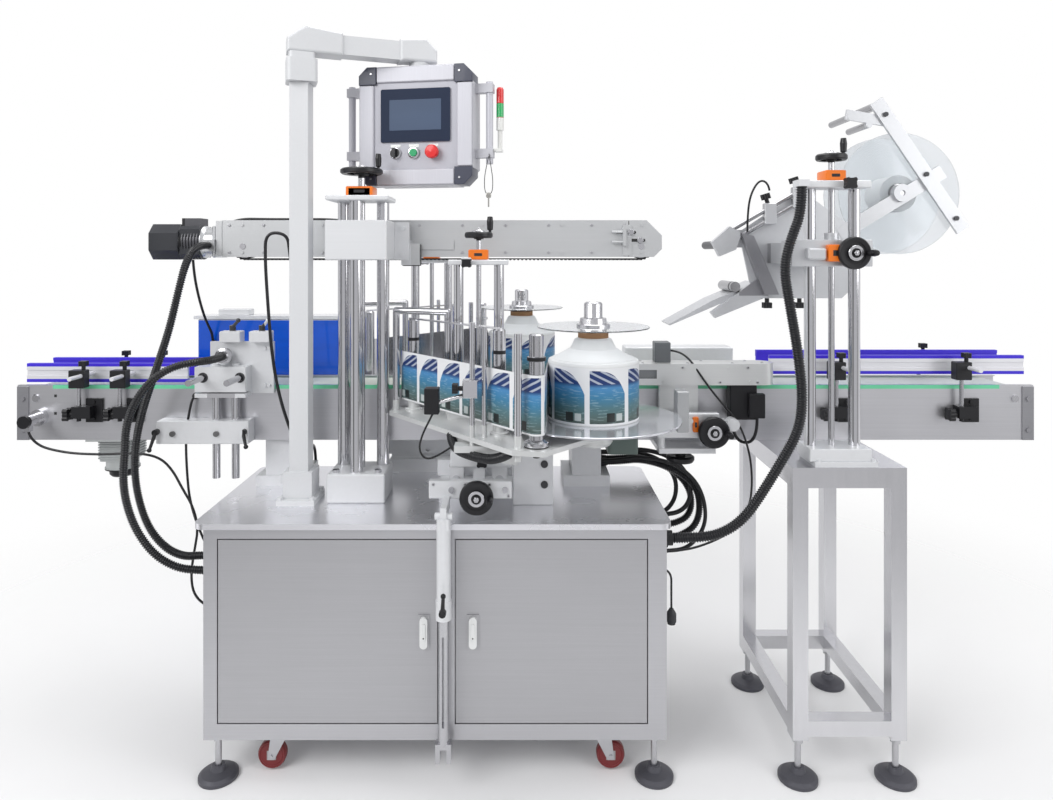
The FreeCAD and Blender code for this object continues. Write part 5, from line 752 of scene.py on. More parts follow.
class LM_OT_reels(PieceOperator, bpy.types.Operator):
    """Three label reels: hub, core, clear discs and the wound roll with its printed labels."""

    bl_idname = "labeling.reels"
    bl_label = "Label reels"

    def execute(self, context):
        self.clear = finish("clear_disc", (0.90, 0.93, 0.95), 0.05, 0.0, (3, 3, 3), 0.02, smudge=0.02, clear=0.92,
                            ior=1.35)
        self.alloy = finish("hub_alloy", POLISHED, 0.24, 1.0, (400, 400, 400), 0.05, 0.01)
        self.bottle_reel("front", 175, 30, 1)
        self.bottle_reel("rear", -11, 736, -1)
        self.top_reel()
        return {"FINISHED"}

    def bottle_reel(self, tag, x, y, sign):
        """Upright reel: plate, wound paper with a coned top, core, disc and hub."""
        centre, body = at(x, y, 0), tag + "_roll"
        kraft = finish("paper_core", (0.36, 0.20, 0.10), 0.75, 0.0, (40, 40, 900), 0.25, 0.1)
        paper = finish("wound_paper", (0.74, 0.75, 0.76), 0.55, 0.0, (20, 20, 1500), 0.05, 0.04)
        plate = finish("reel_plate", (0.72, 0.73, 0.77), 0.16, 0.7, (60, 60, 60), 0.04, 0.01)
        disc = [(0, 930.2), (226, 930.2), (227, 931), (227, 934.2), (226, 935), (0, 935)]
        top = [(30, 1168), (145, 1168), (146, 1168.8), (146, 1170.4), (145, 1171.2), (30, 1171.2), (30, 1168)]
        roll = [(0, 935.3), (117.5, 935.3), (117.8, 1080), (118, 1080), (116, 1086), (108, 1089)]
        for step in np.arange(8) / 8:
            r = 108 - 46 * step ** 0.8
            roll += [(r, 1090 + 24 * step), (r - 3, 1091.5 + 24 * step)]
        roll += [(60, 1114), (48, 1138), (39, 1142), (39, 1155), (0, 1155)]
        core = [(36, 1141), (39.6, 1141), (39.6, 1156), (36, 1156), (36, 1141)]
        hub = [(0, 1154), (34, 1154), (37, 1156), (44, 1162), (44, 1176), (42, 1178), (36, 1179), (34, 1192),
               (25, 1194), (24, 1196), (24, 1228), (23, 1231), (20, 1233.5), (12, 1233.8), (10, 1232), (0, 1232)]
        for name, profile, material, steps in (
                ("reel_plate", disc, plate, 144), ("reel_top_disc", top, self.clear, 96),
                ("roll_paper", roll, paper, 96), ("paper_core", core, kraft, 48), ("reel_hub", hub, self.alloy, 48)):
            piece = build(tag + "_" + name, [lathe(profile, centre, UP, steps)], material, body)
            if name == "reel_plate":
                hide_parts(tag + "_reel")
        self.roll_labels(tag, x, y, sign, body)

    def roll_labels(self, tag, x, y, sign, body):
        """Printed skin of the roll: point = (x + R cos t, y + R sin t, z), seven labels round it."""
        count, low, high, radius = 7, 938, 1078, 118.25
        t = np.linspace(0, 2 * np.pi, 145)
        z = np.linspace(low, high, 3)[:, None]
        shape = (3, 145)
        grid = sheet_grid(x + radius * np.cos(t), y + radius * np.sin(t), z, shape)
        flat = sheet_uv(sign * t / (2 * np.pi) * count * self.settings.label_pitch, (z - low) / 1000, shape)
        build(tag + "_roll_labels", [(grid, False, False)], label_material(self.settings), body,
              uv=flat)

    def top_reel(self):
        """Clear disc, hub and bare core on the tilted head."""
        inner = [(28, 0), (179, 0), (180, 0.8), (180, 3.2), (179, 4), (28, 4), (28, 0)]
        outer = [(34, 108), (179, 108), (180, 109), (180, 111), (179, 112), (34, 112), (34, 108)]
        hub = [(0, -18), (8, -18), (8, -0.4), (28, 0), (30, 2), (30, 132), (27, 134), (12, 134), (10, 130), (0, 130)]
        core = [(31, 6), (54, 6), (55, 7), (55, 105), (54, 106), (31, 106), (31, 6)]
        frost = finish("frosted_backing", (0.80, 0.81, 0.82), 0.4, 0.0, (30, 600, 30), 0.06, 0.02)
        for name, profiles, material, steps in (("reel_discs", (inner, outer), self.clear, 128),
                                                ("reel_hub", (hub,), self.alloy, 48),
                                                ("roll_backing", (core,), frost, 64)):
            grids = [lathe(profile, at(1111, 302, 1539), (0, 1, 0), steps) for profile in profiles]
            piece = build("top_" + name, grids, material, "top_roll")
            if name == "reel_discs":
                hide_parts("top_reel")


LABEL_HALF_WIDTH = 0.44
LABEL_ROOF = 0.134
LABEL_ROOF_DROP = 0.075
LABEL_FOOT = 0.004
LABEL_TALL = 0.131
LABEL_STRIPES_FROM = 0.77
LABEL_STOPS = ((0.1, (0.09, 0.13, 0.12)), (0.32, (0.08, 0.18, 0.21)), (0.52, (0.05, 0.21, 0.37)),
               (0.70, (0.07, 0.25, 0.50)), (LABEL_STRIPES_FROM, (0.015, 0.04, 0.16)))
LABEL_BLOCKS = ((0.46, 0.66, 0.008, 0.030, (0.015, 0.02, 0.02)), (0.70, 0.86, 0.010, 0.028, (0.50, 0.55, 0.55)))


def label_material(settings):
    """Printed label on white backing: stripes below a curved roof, soft waves and two plain blocks.

    The place in a label is cell, from 0 to 1 along it, and height in metres. Its roof lies at
    LABEL_ROOF - LABEL_ROOF_DROP cell^4."""
    if "printed_label" in SHARED:
        return SHARED["printed_label"]
    material = finish("printed_label", (1, 1, 1), 0.35, 0.0, smudge=0.02)
    tree = material.node_tree
    calc = partial(math_node, tree)
    surface = add(tree, "ShaderNodeUVMap", uv_map="surface").outputs[0]
    along, height, _ = separate(tree, surface)
    cell = calc("FRACT", calc("DIVIDE", along, settings.label_pitch))

    def between(value, low, high):
        """Mask that is 1 where a value lies between two."""
        return product(tree, calc("GREATER_THAN", value, low), calc("LESS_THAN", value, high))

    roof = calc("SUBTRACT", LABEL_ROOF, product(tree, calc("POWER", cell, 4.0), LABEL_ROOF_DROP))
    near = calc("LESS_THAN", calc("ABSOLUTE", calc("SUBTRACT", cell, 0.5)), LABEL_HALF_WIDTH)
    share = calc("DIVIDE", height, LABEL_TALL, clamp=True)
    sea = ramp(tree, share, (settings.label_low, settings.label_top), LABEL_STOPS).outputs[0]
    ripple = noise(tree, vector_node(tree, "MULTIPLY", surface, (38, 260, 1)).outputs[0], 4.0)
    foam = product(tree, calc("GREATER_THAN", ripple, 0.585), calc("LESS_THAN", share, 0.72), 0.22)
    ray = calc("FRACT", calc("ADD", product(tree, share, 8.0), product(tree, cell, 3.2)))
    stripe = product(tree, calc("GREATER_THAN", share, LABEL_STRIPES_FROM), calc("LESS_THAN", ray, 0.36), 0.75)
    print_colour = mix_colour(tree, foam, sea, (0.55, 0.72, 0.78))
    print_colour = mix_colour(tree, stripe, print_colour, (0.55, 0.60, 0.68))
    for left, right, low, high, colour in LABEL_BLOCKS:
        mask = product(tree, between(cell, left, right), between(height, low, high))
        print_colour = mix_colour(tree, mask, print_colour, colour)
    inside = product(tree, near, between(height, LABEL_FOOT, roof))
    final = mix_colour(tree, inside, (0.80, 0.81, 0.83), print_colour)
    feed(tree, tree.nodes["Principled BSDF"].inputs["Base Color"], final)
    return material


class LM_OT_web_labels(PieceOperator, bpy.types.Operator):
    """Printed labels on the outer face of both webs, along the line, the bend and the line again."""

    bl_idname = "labeling.web_labels"
    bl_label = "Web labels"

    def execute(self, context):
        bend = np.radians(np.linspace(0, -140, 15))
        roller, paper, lift = 17.5, 1.2, 0.95
        radius = roller + paper + lift
        corner = np.stack([23 + radius * np.cos(bend), -170 + radius * np.sin(bend)], -1)
        path = np.concatenate([[(56.5, 24)], corner, [(-362.7, 261.4)]])
        run = np.concatenate([[0], np.cumsum(np.linalg.norm(np.diff(path, axis=0), axis=1))])
        s = np.unique(np.concatenate([np.linspace(2, run[-1] - 4, 60), run[1:-1]]))
        x, y = np.interp(s, run, path[:, 0]), np.interp(s, run, path[:, 1])
        low = 937.5
        z = np.array([low, 1007, 1077])[:, None]
        shape = (len(z), len(s))
        flat = sheet_uv(s / 1000, (z - low) / 1000, shape)
        for tag, body, place in (("front", "front_head", (x, y)), ("rear", BASE, (x - 186, 766 - y))):
            build(tag + "_web_labels", [(sheet_grid(*place, z, shape), False, False)], label_material(self.settings),
                  body, uv=flat)
        return {"FINISHED"}


class LM_OT_handwheels(PieceOperator, bpy.types.Operator):
    """Finishes of the handwheels, their hub rings, and the orange position counters behind them."""

    bl_idname = "labeling.handwheels"
    bl_label = "Handwheels and counters"

    def execute(self, context):
        shaft = (POLISHED, 0.18, 1.0)
        for node, axis, low, high in (("tower", 2, 0, 1576), ("mast", 2, 0, 1396), ("top", 2, 0, 1600),
                                      ("cross", 1, 27, 400), ("wrap", 1, 189, 400)):
            dress(node + "_handwheel", node + "_handwheel_finish", BLACK, 0.38, 0.0, (260, 260, 260), 0.25, 0.05,
                  coat=0.08, zones=[band(axis, low, high, *shaft)])
        for counter in (("tower", BASE, (-508, 190, 1522.4), (-432, 258, 1550.6)),
                        ("mast", "front_saddle", (-157, 119, 1343.3), (-103, 177, 1371)),
                        ("top", BASE, (781, 31, 1550.3), (835, 89, 1578)),
                        ("arm", "top_carriage", (777, 0, 1339), (813, 24, 1383)),
                        ("wrap", BASE, (471.5, 186, 856), (488, 194.4, 899))):
            self.counter(*counter)
        for wheel in (("tower", "tower_screw", (-470, 224, 1592), UP, 60),
                      ("cross", "cross_screw", (-128, 14, 729), FRONT, 44),
                      ("mast", "mast_screw", (-130, 150, 1408), UP, 39),
                      ("wrap", "wrap_screw", (527, 176, 859), FRONT, 44),
                      ("top", "top_screw", (808, 60, 1611), UP, 40),
                      ("arm", "top_carriage", (840, -2, 1361), FRONT, 42)):
            self.hub(*wheel)
        return {"FINISHED"}

    def counter(self, tag, body, low, high):
        """Orange case with a dark window in its front."""
        orange = finish("counter_orange", ORANGE, 0.34, 0.0, FINE, 0.06, 0.02, coat=0.25)
        dark = finish("counter_window", (0.02, 0.02, 0.022), 0.12, 0.0, coat=0.5)
        build(tag + "_counter", [block(low, high, 4, 2.5)], orange, body)
        wide, tall = high[0] - low[0], high[2] - low[2]
        x, y, z = (low[0] + high[0]) / 2, low[1], (low[2] + high[2]) / 2
        half_wide, half_tall = wide * 0.2, tall * (0.15 if wide > tall else 0.17)
        window = block((x - half_wide, y - 0.5, z - half_tall), (x + half_wide, y + 2, z + half_tall), 1.5, 0.4)
        build(tag + "_counter_window", [window], dark, body)

    def hub(self, tag, body, place, axis, radius):
        """Bright ring, bolt and stud in the middle of a handwheel, in shares of its radius."""
        outer, inner = radius * 0.47, radius * 0.29
        rim = [(inner, 11), (outer, 11), (outer, 14.4), (outer - 0.8, 15.2), (inner + 0.6, 15.2), (inner, 14.6),
               (inner, 11)]
        stud, point = radius * 0.075, radius * 0.05
        stud = [(0, 18), (stud, 18), (stud, 23), (point, 24), (0, 24)]
        grids = [lathe(rim, at(*place), axis, 40), slab(hexagon(radius * 0.34), at(*place), axis, 13, 20, 1.2),
                 lathe(stud, at(*place), axis, 20)]
        build(tag + "_hub_ring", grids, finish("hub_ring", POLISHED, 0.2, 1.0, (400, 400, 400), 0.05), body)


class LM_OT_hold_down(PieceOperator, bpy.types.Operator):
    """Hold-down unit: housing finish, screws, window, toothed belt and motor."""

    bl_idname = "labeling.hold_down"
    bl_label = "Hold-down unit"

    def execute(self, context):
        dress("hold_down_housing", "housing_plate", (0.60, 0.61, 0.62), 0.36, 0.45, (3, 60, 260), 0.06, 0.02,
              zones=[((-600, 0, 1300), (-340, 334, 1500), WHITE, 0.34, 0.3)])
        dress("hold_down_motor", "motor_finish", (0.62, 0.63, 0.64), 0.3, 0.8, MEDIUM, 0.08, 0.03,
              zones=[band(0, -1200, -1036, BLACK, 0.4, 0.0), band(0, -1036, -984, (0.09, 0.09, 0.10), 0.4, 0.3)])
        self.motor_case()
        self.toothed_belt()
        self.fittings()
        return {"FINISHED"}

    def put(self, name, grids, material, slot="light_grey_paint"):
        """Piece that rides the hold-down unit."""
        return build(name, grids, material, "hold_down_unit")

    def motor_case(self):
        """Rounded rear housing, body and end cap, along X from the unit's end."""
        shell = finish("motor_shell", (0.028, 0.03, 0.036), 0.36, 0.1, COARSE, 0.15, 0.03, coat=0.15)
        self.put("motor_case", [slab(rounded(size, size, corner, 2), at(0, 383, 1396), (-1, 0, 0), low, high, edge)
                                for size, corner, low, high, edge in ((108, 28, 1046, 1136, 4), (96, 10, 984, 1045, 2),
                                                                      (70, 20, 1134, 1138, 1.5))], shell, "motor_grey")

    def toothed_belt(self):
        """Belt round both pulleys: straight, half circle, straight and half circle along s.

        Its outer side lies R - d + d tanh(3 sin(2 pi n s / L)) from the middle line, n teeth in all."""
        left, right, z, radius, inner, half_wide = -853.0, 350.0, 1382.0, 42.0, 36.05, 29.5
        teeth, depth = 221, 1.6
        straight, arc = right - left, math.pi * radius
        length = 2 * straight + 2 * arc
        s = np.linspace(0, length, teeth * 8, endpoint=False)
        out = np.clip(s, 0, straight)
        back = np.clip(s - straight - arc, 0, straight)
        turned = (np.clip((s - straight) / radius, 0, math.pi)
                  + np.clip((s - 2 * straight - arc) / radius, 0, math.pi))
        angle = np.pi / 2 - turned
        none = np.zeros_like(s)
        normal = np.stack([np.cos(angle), none, np.sin(angle)], -1)
        centre = np.stack([left + out - back, none, none + z], -1)
        outer = radius - depth + depth * np.tanh(3 * np.sin(2 * np.pi * s / length * teeth))
        corners = ((inner + none, -half_wide), (outer, -half_wide), (outer, half_wide), (inner + none, half_wide))
        rows = [centre + normal * reach[:, None] + np.array([0, side, 0]) for reach, side in corners]
        rubber = finish("belt_rubber", (0.03, 0.03, 0.033), 0.5, 0.0, FINE, 0.3, 0.06)
        belt = build("toothed_belt", [(np.stack(rows, 1) / 1000, True, True)], rubber, "hold_down_unit",
                     angle=30)
        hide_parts("hold_down_belt")

    def fittings(self):
        """Cover screws, window, tension slots with their bolts, and the product sensor."""
        self.put("housing_screws", [slab(hexagon(9), at(x, 335, z), FRONT, -0.5, 3.2, 0.8)
                                    for x in (-893, -790, -680, -320, -190, -60, 70, 200, 300)
                                    for z in (1446, 1364)], zinc())
        self.put("housing_window", [block((-366, 332.6, 1371), (-215, 336, 1398), 4, 0.8)],
                 finish("smoked_window", (0.30, 0.31, 0.33), 0.12, 0.0, (2, 2, 20), 0.2, coat=0.5))
        slots = [block((x, 334.2, z), (x + 62, 335.2, z + 9), 4.4, 0.3) for x, z in ((272, 1420), (300, 1396))]
        slots.append(block((311, 334.3, 1352), (313, 335.2, 1459), 0.8, 0.3))
        self.put("tension_slots", slots, finish("slot_shadow", (0.03, 0.03, 0.03), 0.6))
        self.put("tension_bolts", [slab(hexagon(20), at(x, 335, z), FRONT, -0.5, 9, 1.4)
                                   for x, z in ((318, 1424.5), (346, 1400.5))], zinc())
        self.put("product_sensor", [block((-369, 318, 1323), (-313, 334.4, 1389), 4, 2)],
                 finish("sensor_case", (0.02, 0.022, 0.025), 0.35, 0.0, MEDIUM, 0.1, 0.03, coat=0.2), "black_plastic")


def spline_curve(name, points, bevel=0.0):
    """Curve object of one NURBS spline with the points, in drawing millimetres, as its control points."""
    curve = bpy.data.curves.new(name, "CURVE")
    curve.dimensions = "3D"
    curve.bevel_depth = bevel
    curve.bevel_resolution = 4
    curve.resolution_u = 16
    curve.use_fill_caps = True
    spline = curve.splines.new("NURBS")
    spline.points.add(len(points) - 1)
    for place, point in zip(spline.points, points):
        place.co = (*at(*point), 1)
    spline.order_u = 3
    spline.use_endpoint_u = True
    piece = bpy.data.objects.new(name, curve)
    bpy.context.scene.collection.objects.link(piece)
    return piece


def followed(points):
    """Points along the NURBS spline of a route, read from a curve with no bevel."""
    guide = spline_curve("guide", points)
    mesh = bpy.data.meshes.new_from_object(guide)
    line = np.array([tuple(vertex.co) for vertex in mesh.vertices])
    curve = guide.data
    bpy.data.objects.remove(guide)
    bpy.data.curves.remove(curve)
    bpy.data.meshes.remove(mesh)
    return line


def even(line, step):
    """Points at even steps along a line of points, and how far along it each of them is."""
    run = np.concatenate([[0], np.cumsum(np.linalg.norm(np.diff(line, axis=0), axis=1))])
    s = np.linspace(0, run[-1], int(run[-1] / step) + 1)
    return np.stack([np.interp(s, run, line[:, k]) for k in range(3)], -1), s


def relief(point, axis, radius, reach=34.0):
    """Gland: flange, nut and a ribbed relief that tapers down to the cable."""
    ribs = 6
    profile = [(0, -2), (radius + 6, -2), (radius + 6, 2), (radius + 5.4, 2.6), (radius + 3.6, 3),
               (radius + 3.6, 9), (radius + 3, 10), (radius + 1.8, 10.6)]
    for k in range(ribs):
        height = 11 + (reach - 12) * k / ribs
        profile += [(radius + 1.9 - 0.24 * k, height), (radius + 1.2 - 0.2 * k, height + (reach - 12) / 2 / ribs)]
    profile += [(radius + 0.5, reach - 1), (radius - 0.4, reach), (0, reach)]
    return lathe(profile, at(*point), axis, 28)


HOSES = (
    ("motor_hose", "motor_hose", BASE, 22.0, 1.172,
     [(-952, 322, 1385), (-952, 242, 1385), (-953, 178, 1338), (-962, 150, 1254), (-987, 152, 1150),
      (-1028, 166, 1045), (-1073, 184, 935), (-1100, 196, 850), (-1108, 197, 762), (-1096, 190, 680),
      (-1060, 176, 595), (-1004, 160, 542), (-946, 148, 522), (-896, 144, 528), (-850, 144, 528)]),
    ("side_hose", "side_hose", BASE, 22.0, 0.913,
     [(-876, 230, 1062), (-876, 168, 1062), (-900, 122, 1064), (-950, 92, 1056), (-1004, 86, 1022),
      (-1050, 88, 962), (-1075, 90, 895), (-1078, 91, 822), (-1084, 92, 752), (-1075, 94, 682),
      (-1050, 98, 610), (-1006, 104, 545), (-950, 110, 508), (-896, 112, 500), (-850, 112, 500)]),
    ("top_conduit", "top_conduit", BASE, 27.0, 1.105,
     [(709, 6, 1532), (709, 6, 1466), (680, 4, 1396), (661, 2, 1322), (676, 0, 1230), (697, -2, 1105),
      (709, -2, 990), (700, 0, 905), (657, 4, 826), (606, 10, 738), (562, 18, 670), (506, 30, 628),
      (444, 44, 614), (383, 44, 614)]),
    ("drive_hose_first", None, BASE, 22.0, 0.566,
     [(226, 430, 716), (290, 430, 717), (361, 430, 722), (462, 430, 686), (522, 430, 622), (522, 430, 538),
      (462, 430, 508), (400, 430, 512), (361, 430, 512)]),
    ("drive_hose_second", None, BASE, 22.0, 0.623,
     [(226, 392, 716), (290, 392, 717), (361, 392, 726), (470, 394, 692), (540, 396, 632), (540, 396, 524),
      (470, 394, 480), (400, 392, 482), (361, 392, 482)]),
    ("head_sleeve", None, "front_head", 24.0, 0.250,
     [(-192, -2, 896), (-186, -40, 872), (-130, -100, 866), (-70, -150, 870), (-40, -180, 896)]),
)
CABLES = (
    ("encoder_cable", BASE, 7.0, 0.980,
     [(-1432, 234, 847.6), (-1429, 235, 832), (-1404, 238, 806), (-1368, 240, 793), (-1310, 240, 783),
      (-1243, 240, 780), (-1194, 240, 781), (-1116, 240, 784), (-1056, 240, 771), (-1019, 240, 734),
      (-992, 242, 680), (-962, 244, 628), (-948, 246, 564), (-960, 248, 500), (-972, 250, 426),
      (-962, 250, 366), (-916, 250, 331), (-866, 250, 326), (-828, 250, 326)]),
    ("panel_cable", BASE, 7.0, 0.600,
     [(-974, 288, 940), (-974, 268, 940), (-981, 262, 900), (-990, 264, 850), (-994, 268, 793),
      (-991, 270, 711), (-984, 270, 640), (-960, 270, 560), (-922, 270, 480), (-880, 270, 436),
      (-850, 270, 430), (-828, 270, 430)]),
    ("motor_cable", BASE, 8.0, 0.300,
     [(-1019, 372, 1341), (-1018, 376, 1300), (-1010, 388, 1230), (-1004, 420, 1160), (-1000, 452, 1120),
      (-1000, 470, 1100), (-1000, 477, 1060)]),
    ("pole_cable", BASE, 9.0, 1.042,
     [(-657, 184, 1316), (-664, 184, 1360), (-670, 184, 1416), (-731, 184, 1420), (-733, 184, 1350),
      (-728, 184, 1257), (-716, 184, 1094), (-704, 200, 979), (-690, 246, 870), (-674, 300, 780),
      (-670, 380, 760), (-670, 472, 756), (-670, 472, 669)]),
    ("wrap_sensor_cable", BASE, 6.0, 0.817,
     [(424, 284, 1075), (450, 272, 1074), (478, 246, 1052), (505, 224, 1006), (545, 212, 950),
      (606, 200, 880), (632, 188, 800), (634, 170, 720), (618, 150, 650), (560, 120, 598), (470, 100, 568),
      (400, 90, 560), (361, 90, 560)]),
    ("plug_cable", BASE, 6.0, 0.142,
     [(361, 150, 490), (403, 150, 490), (403, 150, 420), (403, 150, 376)]),
    ("head_sensor_cable", "front_head", 5.0, 0.222,
     [(-230, -70, 966), (-240, -70, 946), (-258, -68, 910), (-268, -58, 872), (-252, -46, 842),
      (-215, -26, 852), (-178, -10, 875)]),
    ("housing_cable", "hold_down_unit", 8.0, 0.413,
     [(-968, 383, 1436), (-930, 383, 1446), (-880, 383, 1468), (-793, 383, 1466), (-680, 383, 1466),
      (-600, 383, 1466), (-560, 383, 1462)]),
    ("key_wire", "operator_box", 2.2, 0.243,
     [(-106, 250, 1644), (-114, 248, 1612), (-120, 248, 1572), (-117, 248, 1532), (-97, 248, 1532),
      (-94, 248, 1572), (-100, 248, 1612), (-106, 250, 1650)]),
    ("drive_cable_third", BASE, 14.0, 0.555,
     [(226, 411, 742), (290, 411, 744), (366, 411, 752), (456, 411, 728), (512, 411, 668), (518, 411, 600),
      (490, 411, 556), (430, 411, 545), (361, 411, 545)]),
    ("drive_cable_fourth", BASE, 14.0, 0.479,
     [(226, 452, 730), (290, 452, 730), (352, 452, 732), (430, 452, 708), (478, 452, 654), (480, 452, 590),
      (450, 452, 544), (410, 452, 536), (361, 452, 536)]),
    ("drive_cable_fifth", BASE, 12.0, 0.680,
     [(226, 371, 724), (280, 371, 726), (350, 371, 738), (450, 371, 722), (520, 371, 670), (552, 371, 600),
      (552, 371, 520), (500, 371, 456), (430, 371, 448), (361, 371, 448)]),
    ("wrap_motor_cable", "wrap_slide", 9.0, 0.175,
     [(664, 224, 888), (664, 224, 814), (604, 262, 814), (604, 262, 880)]),
    ("top_head_cable", "top_carriage", 6.0, 0.205,
     [(650, 270, 1424), (648, 262, 1470), (652, 250, 1530), (676, 244, 1574), (704, 250, 1566),
      (712, 262, 1545)]),
)


class LM_OT_cables(PieceOperator, bpy.types.Operator):
    """Ribbed hoses and thin cables with their glands, and the key on its wire."""

    bl_idname = "labeling.cables"
    bl_label = "Hoses and cables"

    def execute(self, context):
        hose = finish("ribbed_hose", (0.006, 0.0065, 0.009), 0.3, 0.0, (90, 90, 90), 0.25, 0.02, coat=0.15)
        jacket = finish("cable_jacket", (0.006, 0.006, 0.008), 0.38, 0.0, FINE, 0.2, 0.02, coat=0.1)
        pitch, depth = self.settings.hose_pitch, 0.0026
        for name, node, body, diameter, length, points in HOSES:
            line, s = even(followed(points), pitch / 7)
            radius = diameter / 2000 - depth / 2 + depth / 2 * np.tanh(2.2 * np.sin(2 * np.pi * s / pitch))
            piece = build(name + "_ribbed", [tube(line, radius, 22)], hose, body, angle=60)
            if node:
                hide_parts(node)
        for name, body, diameter, length, points in CABLES:
            piece = spline_curve(name, points, diameter / 2000)
            piece.data.materials.append(jacket)
            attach(piece, body)
            plug = [self.plug()] if name == "plug_cable" else []
        moulded = finish("gland_black", (0.02, 0.02, 0.022), 0.4, 0.0, FINE, 0.15, 0.03, coat=0.1)
        left = [relief((-828, 250, 326), (-1, 0, 0), 3.5, 26), relief((-828, 270, 430), (-1, 0, 0), 3.5, 26)]
        right = [relief((361, y, z), (1, 0, 0), r, 20 + r)
                 for y, z, r in ((430, 512, 11), (392, 482, 11), (90, 560, 3), (150, 490, 3), (411, 545, 7),
                                 (452, 536, 7), (371, 448, 6))]
        others = [relief((-670, 472, 669), UP, 5, 22), relief((226, 430, 716), (1, 0, 0), 11, 26),
                  relief((226, 392, 716), (1, 0, 0), 11, 26), relief((-974, 288, 940), FRONT, 3.5, 14),
                  relief((-1000, 477, 1060), UP, 4, 24)]
        build("cable_glands", left + right + others, moulded, BASE)
        brass = finish("key_metal", (0.55, 0.54, 0.50), 0.25, 1.0, (400, 400, 400), 0.1, 0.02)
        head = slab(rounded(15, 17, 6), at(-107, 248, 1529), FRONT, -1.1, 1.1, 0.5)
        blade = slab(rounded(4.4, 26, 1.5), at(-107, 248, 1508), FRONT, -0.9, 0.9, 0.3)
        bow = slab(rounded(13, 10, 4.5), at(-107, 248, 1531), FRONT, -3, 3, 1)
        build("box_key", [head, blade, bow], brass, "operator_box")
        return {"FINISHED"}

    def plug(self):
        """Moulded plug that hangs at the end of the short cable."""
        case = finish("plug_case", (0.03, 0.032, 0.036), 0.42, 0.0, FINE, 0.15, 0.04, coat=0.1)
        neck = lathe([(0, 378), (6, 378), (6.6, 376), (8, 374), (13, 366), (13.6, 364), (13.6, 343), (12.6, 341),
                      (11, 340), (11, 336), (0, 336)], at(403, 150, 0), UP, 36)
        return build("plug_body", [neck], case, BASE)


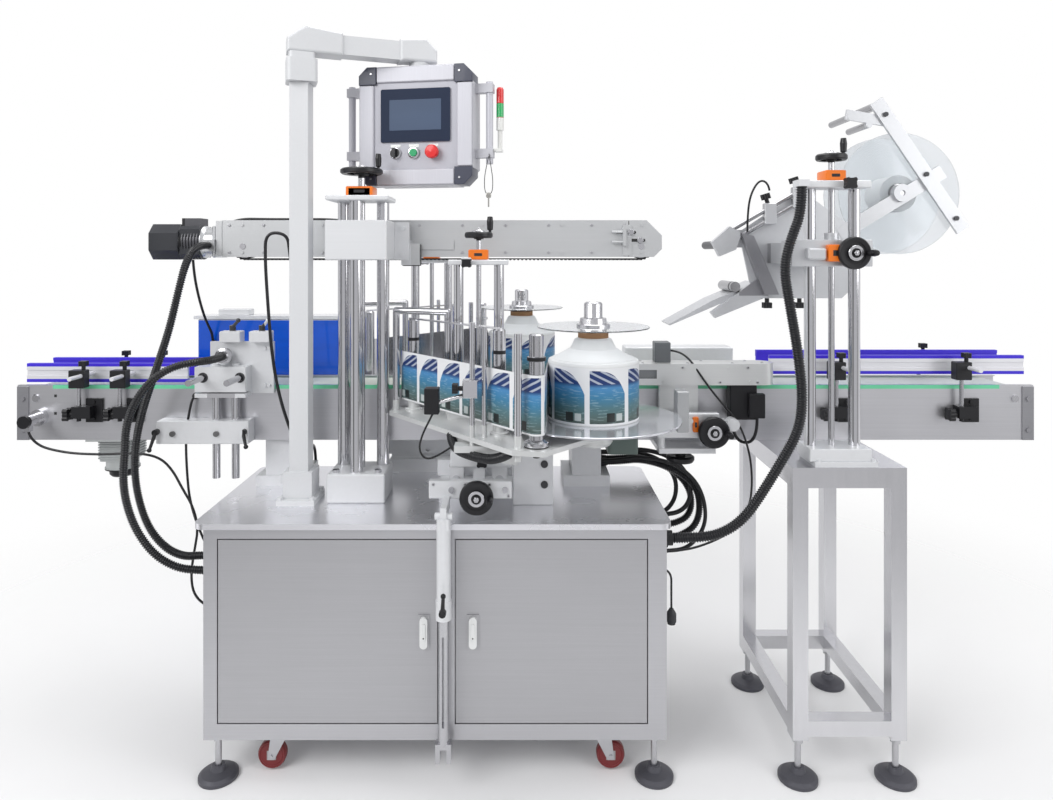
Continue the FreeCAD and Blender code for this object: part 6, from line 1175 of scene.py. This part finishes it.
class LM_OT_stage(bpy.types.Operator):
    """Pale floor, white surroundings, soft lights and the camera."""

    bl_idname = "labeling.stage"
    bl_label = "Stage and camera"
    bl_options = {"REGISTER", "UNDO"}

    def execute(self, context):
        scene = bpy.context.scene
        scene.view_settings.view_transform = "Standard"
        self.floor()
        self.surroundings(scene)
        self.lights(scene)
        self.camera(scene)
        return {"FINISHED"}

    def floor(self):
        """Wide even floor of pale matt paint that fades out with the distance from the machine."""
        half, count = 14.0, 29
        t = np.linspace(-half, half, count)
        x, y = np.meshgrid(t, t, indexing="ij")
        grid = np.stack([x, y, np.full_like(x, -0.0004)], -1)
        mesh = bpy.data.meshes.new("floor")
        mesh.from_pydata(grid.reshape(-1, 3).tolist(), [], grid_faces(count, count, False, False, 0).tolist())
        floor = bpy.data.objects.new("floor", mesh)
        bpy.context.scene.collection.objects.link(floor)
        paint = finish("floor_paint", (0.90, 0.90, 0.91), 0.7, 0.0, (1, 1, 1), 0.01, 0.0, 0.01)
        mesh.materials.append(paint)
        tree = paint.node_tree
        away = vector_node(tree, "LENGTH", add(tree, "ShaderNodeTexCoord").outputs["Object"])
        fade = add(tree, "ShaderNodeMapRange", interpolation_type="SMOOTHSTEP")
        tree.links.new(away.outputs["Value"], fade.inputs["Value"])
        for label, value in (("From Min", 0.9), ("From Max", 2.9), ("To Min", 1.0), ("To Max", 0.0)):
            fade.inputs[label].default_value = value
        tree.links.new(fade.outputs[0], tree.nodes["Principled BSDF"].inputs["Alpha"])

    def surroundings(self, scene):
        """World that is white to the camera, shaded by bearing in reflections, and dimmer as a light."""
        world = bpy.data.worlds.new("studio")
        scene.world = world
        world.use_nodes = True
        tree = world.node_tree
        background = tree.nodes["Background"]
        path = add(tree, "ShaderNodeLightPath")
        east, north, _ = separate(tree, add(tree, "ShaderNodeTexCoord").outputs["Generated"])
        bearing = math_node(tree, "ARCTAN2", east, north)
        turn = math_node(tree, "ADD", math_node(tree, "DIVIDE", bearing, 2 * math.pi), 0.5)
        seam = (0.62, 0.62, 0.65)
        shades = ramp(tree, turn, (seam, seam), [(place, (shade, shade, shade * 1.02)) for place, shade in (
            (0.06, 0.72), (0.10, 0.16), (0.14, 0.10), (0.19, 1.0), (0.30, 1.0), (0.36, 0.30), (0.42, 0.9),
            (0.58, 0.9), (0.64, 0.25), (0.70, 1.0), (0.80, 1.0), (0.85, 0.18), (0.89, 0.5), (0.94, 0.66))])
        shades.color_ramp.interpolation = "B_SPLINE"
        glossy = mix_colour(tree, path.outputs["Is Glossy Ray"], (1, 1, 1), shades.outputs[0])
        feed(tree, background.inputs["Color"], glossy)
        seen = math_node(tree, "MAXIMUM", path.outputs["Is Camera Ray"], path.outputs["Is Glossy Ray"])
        seen = math_node(tree, "MAXIMUM", seen, path.outputs["Is Transmission Ray"])
        feed(tree, background.inputs["Strength"], mix_value(tree, seen, 0.50, 1.0))

    def lights(self, scene):
        """Large soft boxes: one high at the left front, one at the right, and one above."""
        places = (("key", (-3.2, -3.4, 3.6), 3.2, 2.4, 150.0), ("fill", (3.6, -2.6, 2.4), 2.6, 2.6, 58.0),
                  ("top", (0.2, 0.3, 4.2), 3.6, 2.2, 78.0))
        for name, place, wide, tall, power in places:
            light = bpy.data.lights.new(name, "AREA")
            light.shape = "RECTANGLE"
            light.size = wide
            light.size_y = tall
            light.energy = power
            lamp = bpy.data.objects.new(name, light)
            lamp.location = place
            aim = Vector((0.0, 0.0, 0.9)) - Vector(place)
            lamp.rotation_euler = aim.to_track_quat("-Z", "Y").to_euler()
            scene.collection.objects.link(lamp)

    def camera(self, scene):
        """Level camera in front of the line, its frame shifted down."""
        data = bpy.data.cameras.new("camera")
        data.sensor_width = 36.0
        data.lens = 25.29
        data.shift_x = 0.0052
        data.shift_y = -0.1377
        data.clip_start = 0.05
        data.clip_end = 60.0
        camera = bpy.data.objects.new("camera", data)
        camera.location = (-0.013, -2.280, 1.356)
        camera.rotation_euler = (math.pi / 2, 0.0, 0.0)
        scene.collection.objects.link(camera)
        scene.camera = camera


PIECES = (LM_OT_groups, LM_OT_sheet_metal, LM_OT_machined_finishes, LM_OT_control_box, LM_OT_reels,
          LM_OT_web_labels, LM_OT_handwheels, LM_OT_hold_down, LM_OT_cables, LM_OT_stage)


class LM_PT_panel(bpy.types.Panel):
    """Sidebar panel with the settings and one button for each group of pieces."""

    bl_idname = "LM_PT_panel"
    bl_label = "Labeling machine"
    bl_space_type = "VIEW_3D"
    bl_region_type = "UI"
    bl_category = "Labeling machine"

    def draw(self, context):
        for name in MachineSettings.__annotations__:
            self.layout.prop(context.scene.labeling_machine, name)
        for piece in PIECES:
            self.layout.operator(piece.bl_idname)


CLASSES = (MachineSettings, *PIECES, LM_PT_panel)


def register():
    for entry in CLASSES:
        bpy.utils.register_class(entry)
    bpy.types.Scene.labeling_machine = PointerProperty(type=MachineSettings)


def unregister():
    del bpy.types.Scene.labeling_machine
    for entry in reversed(CLASSES):
        bpy.utils.unregister_class(entry)


def main():
    register()
    for piece in PIECES:
        group, call = piece.bl_idname.split(".")
        getattr(getattr(bpy.ops, group), call)()


if __name__ == "__main__":
    main()
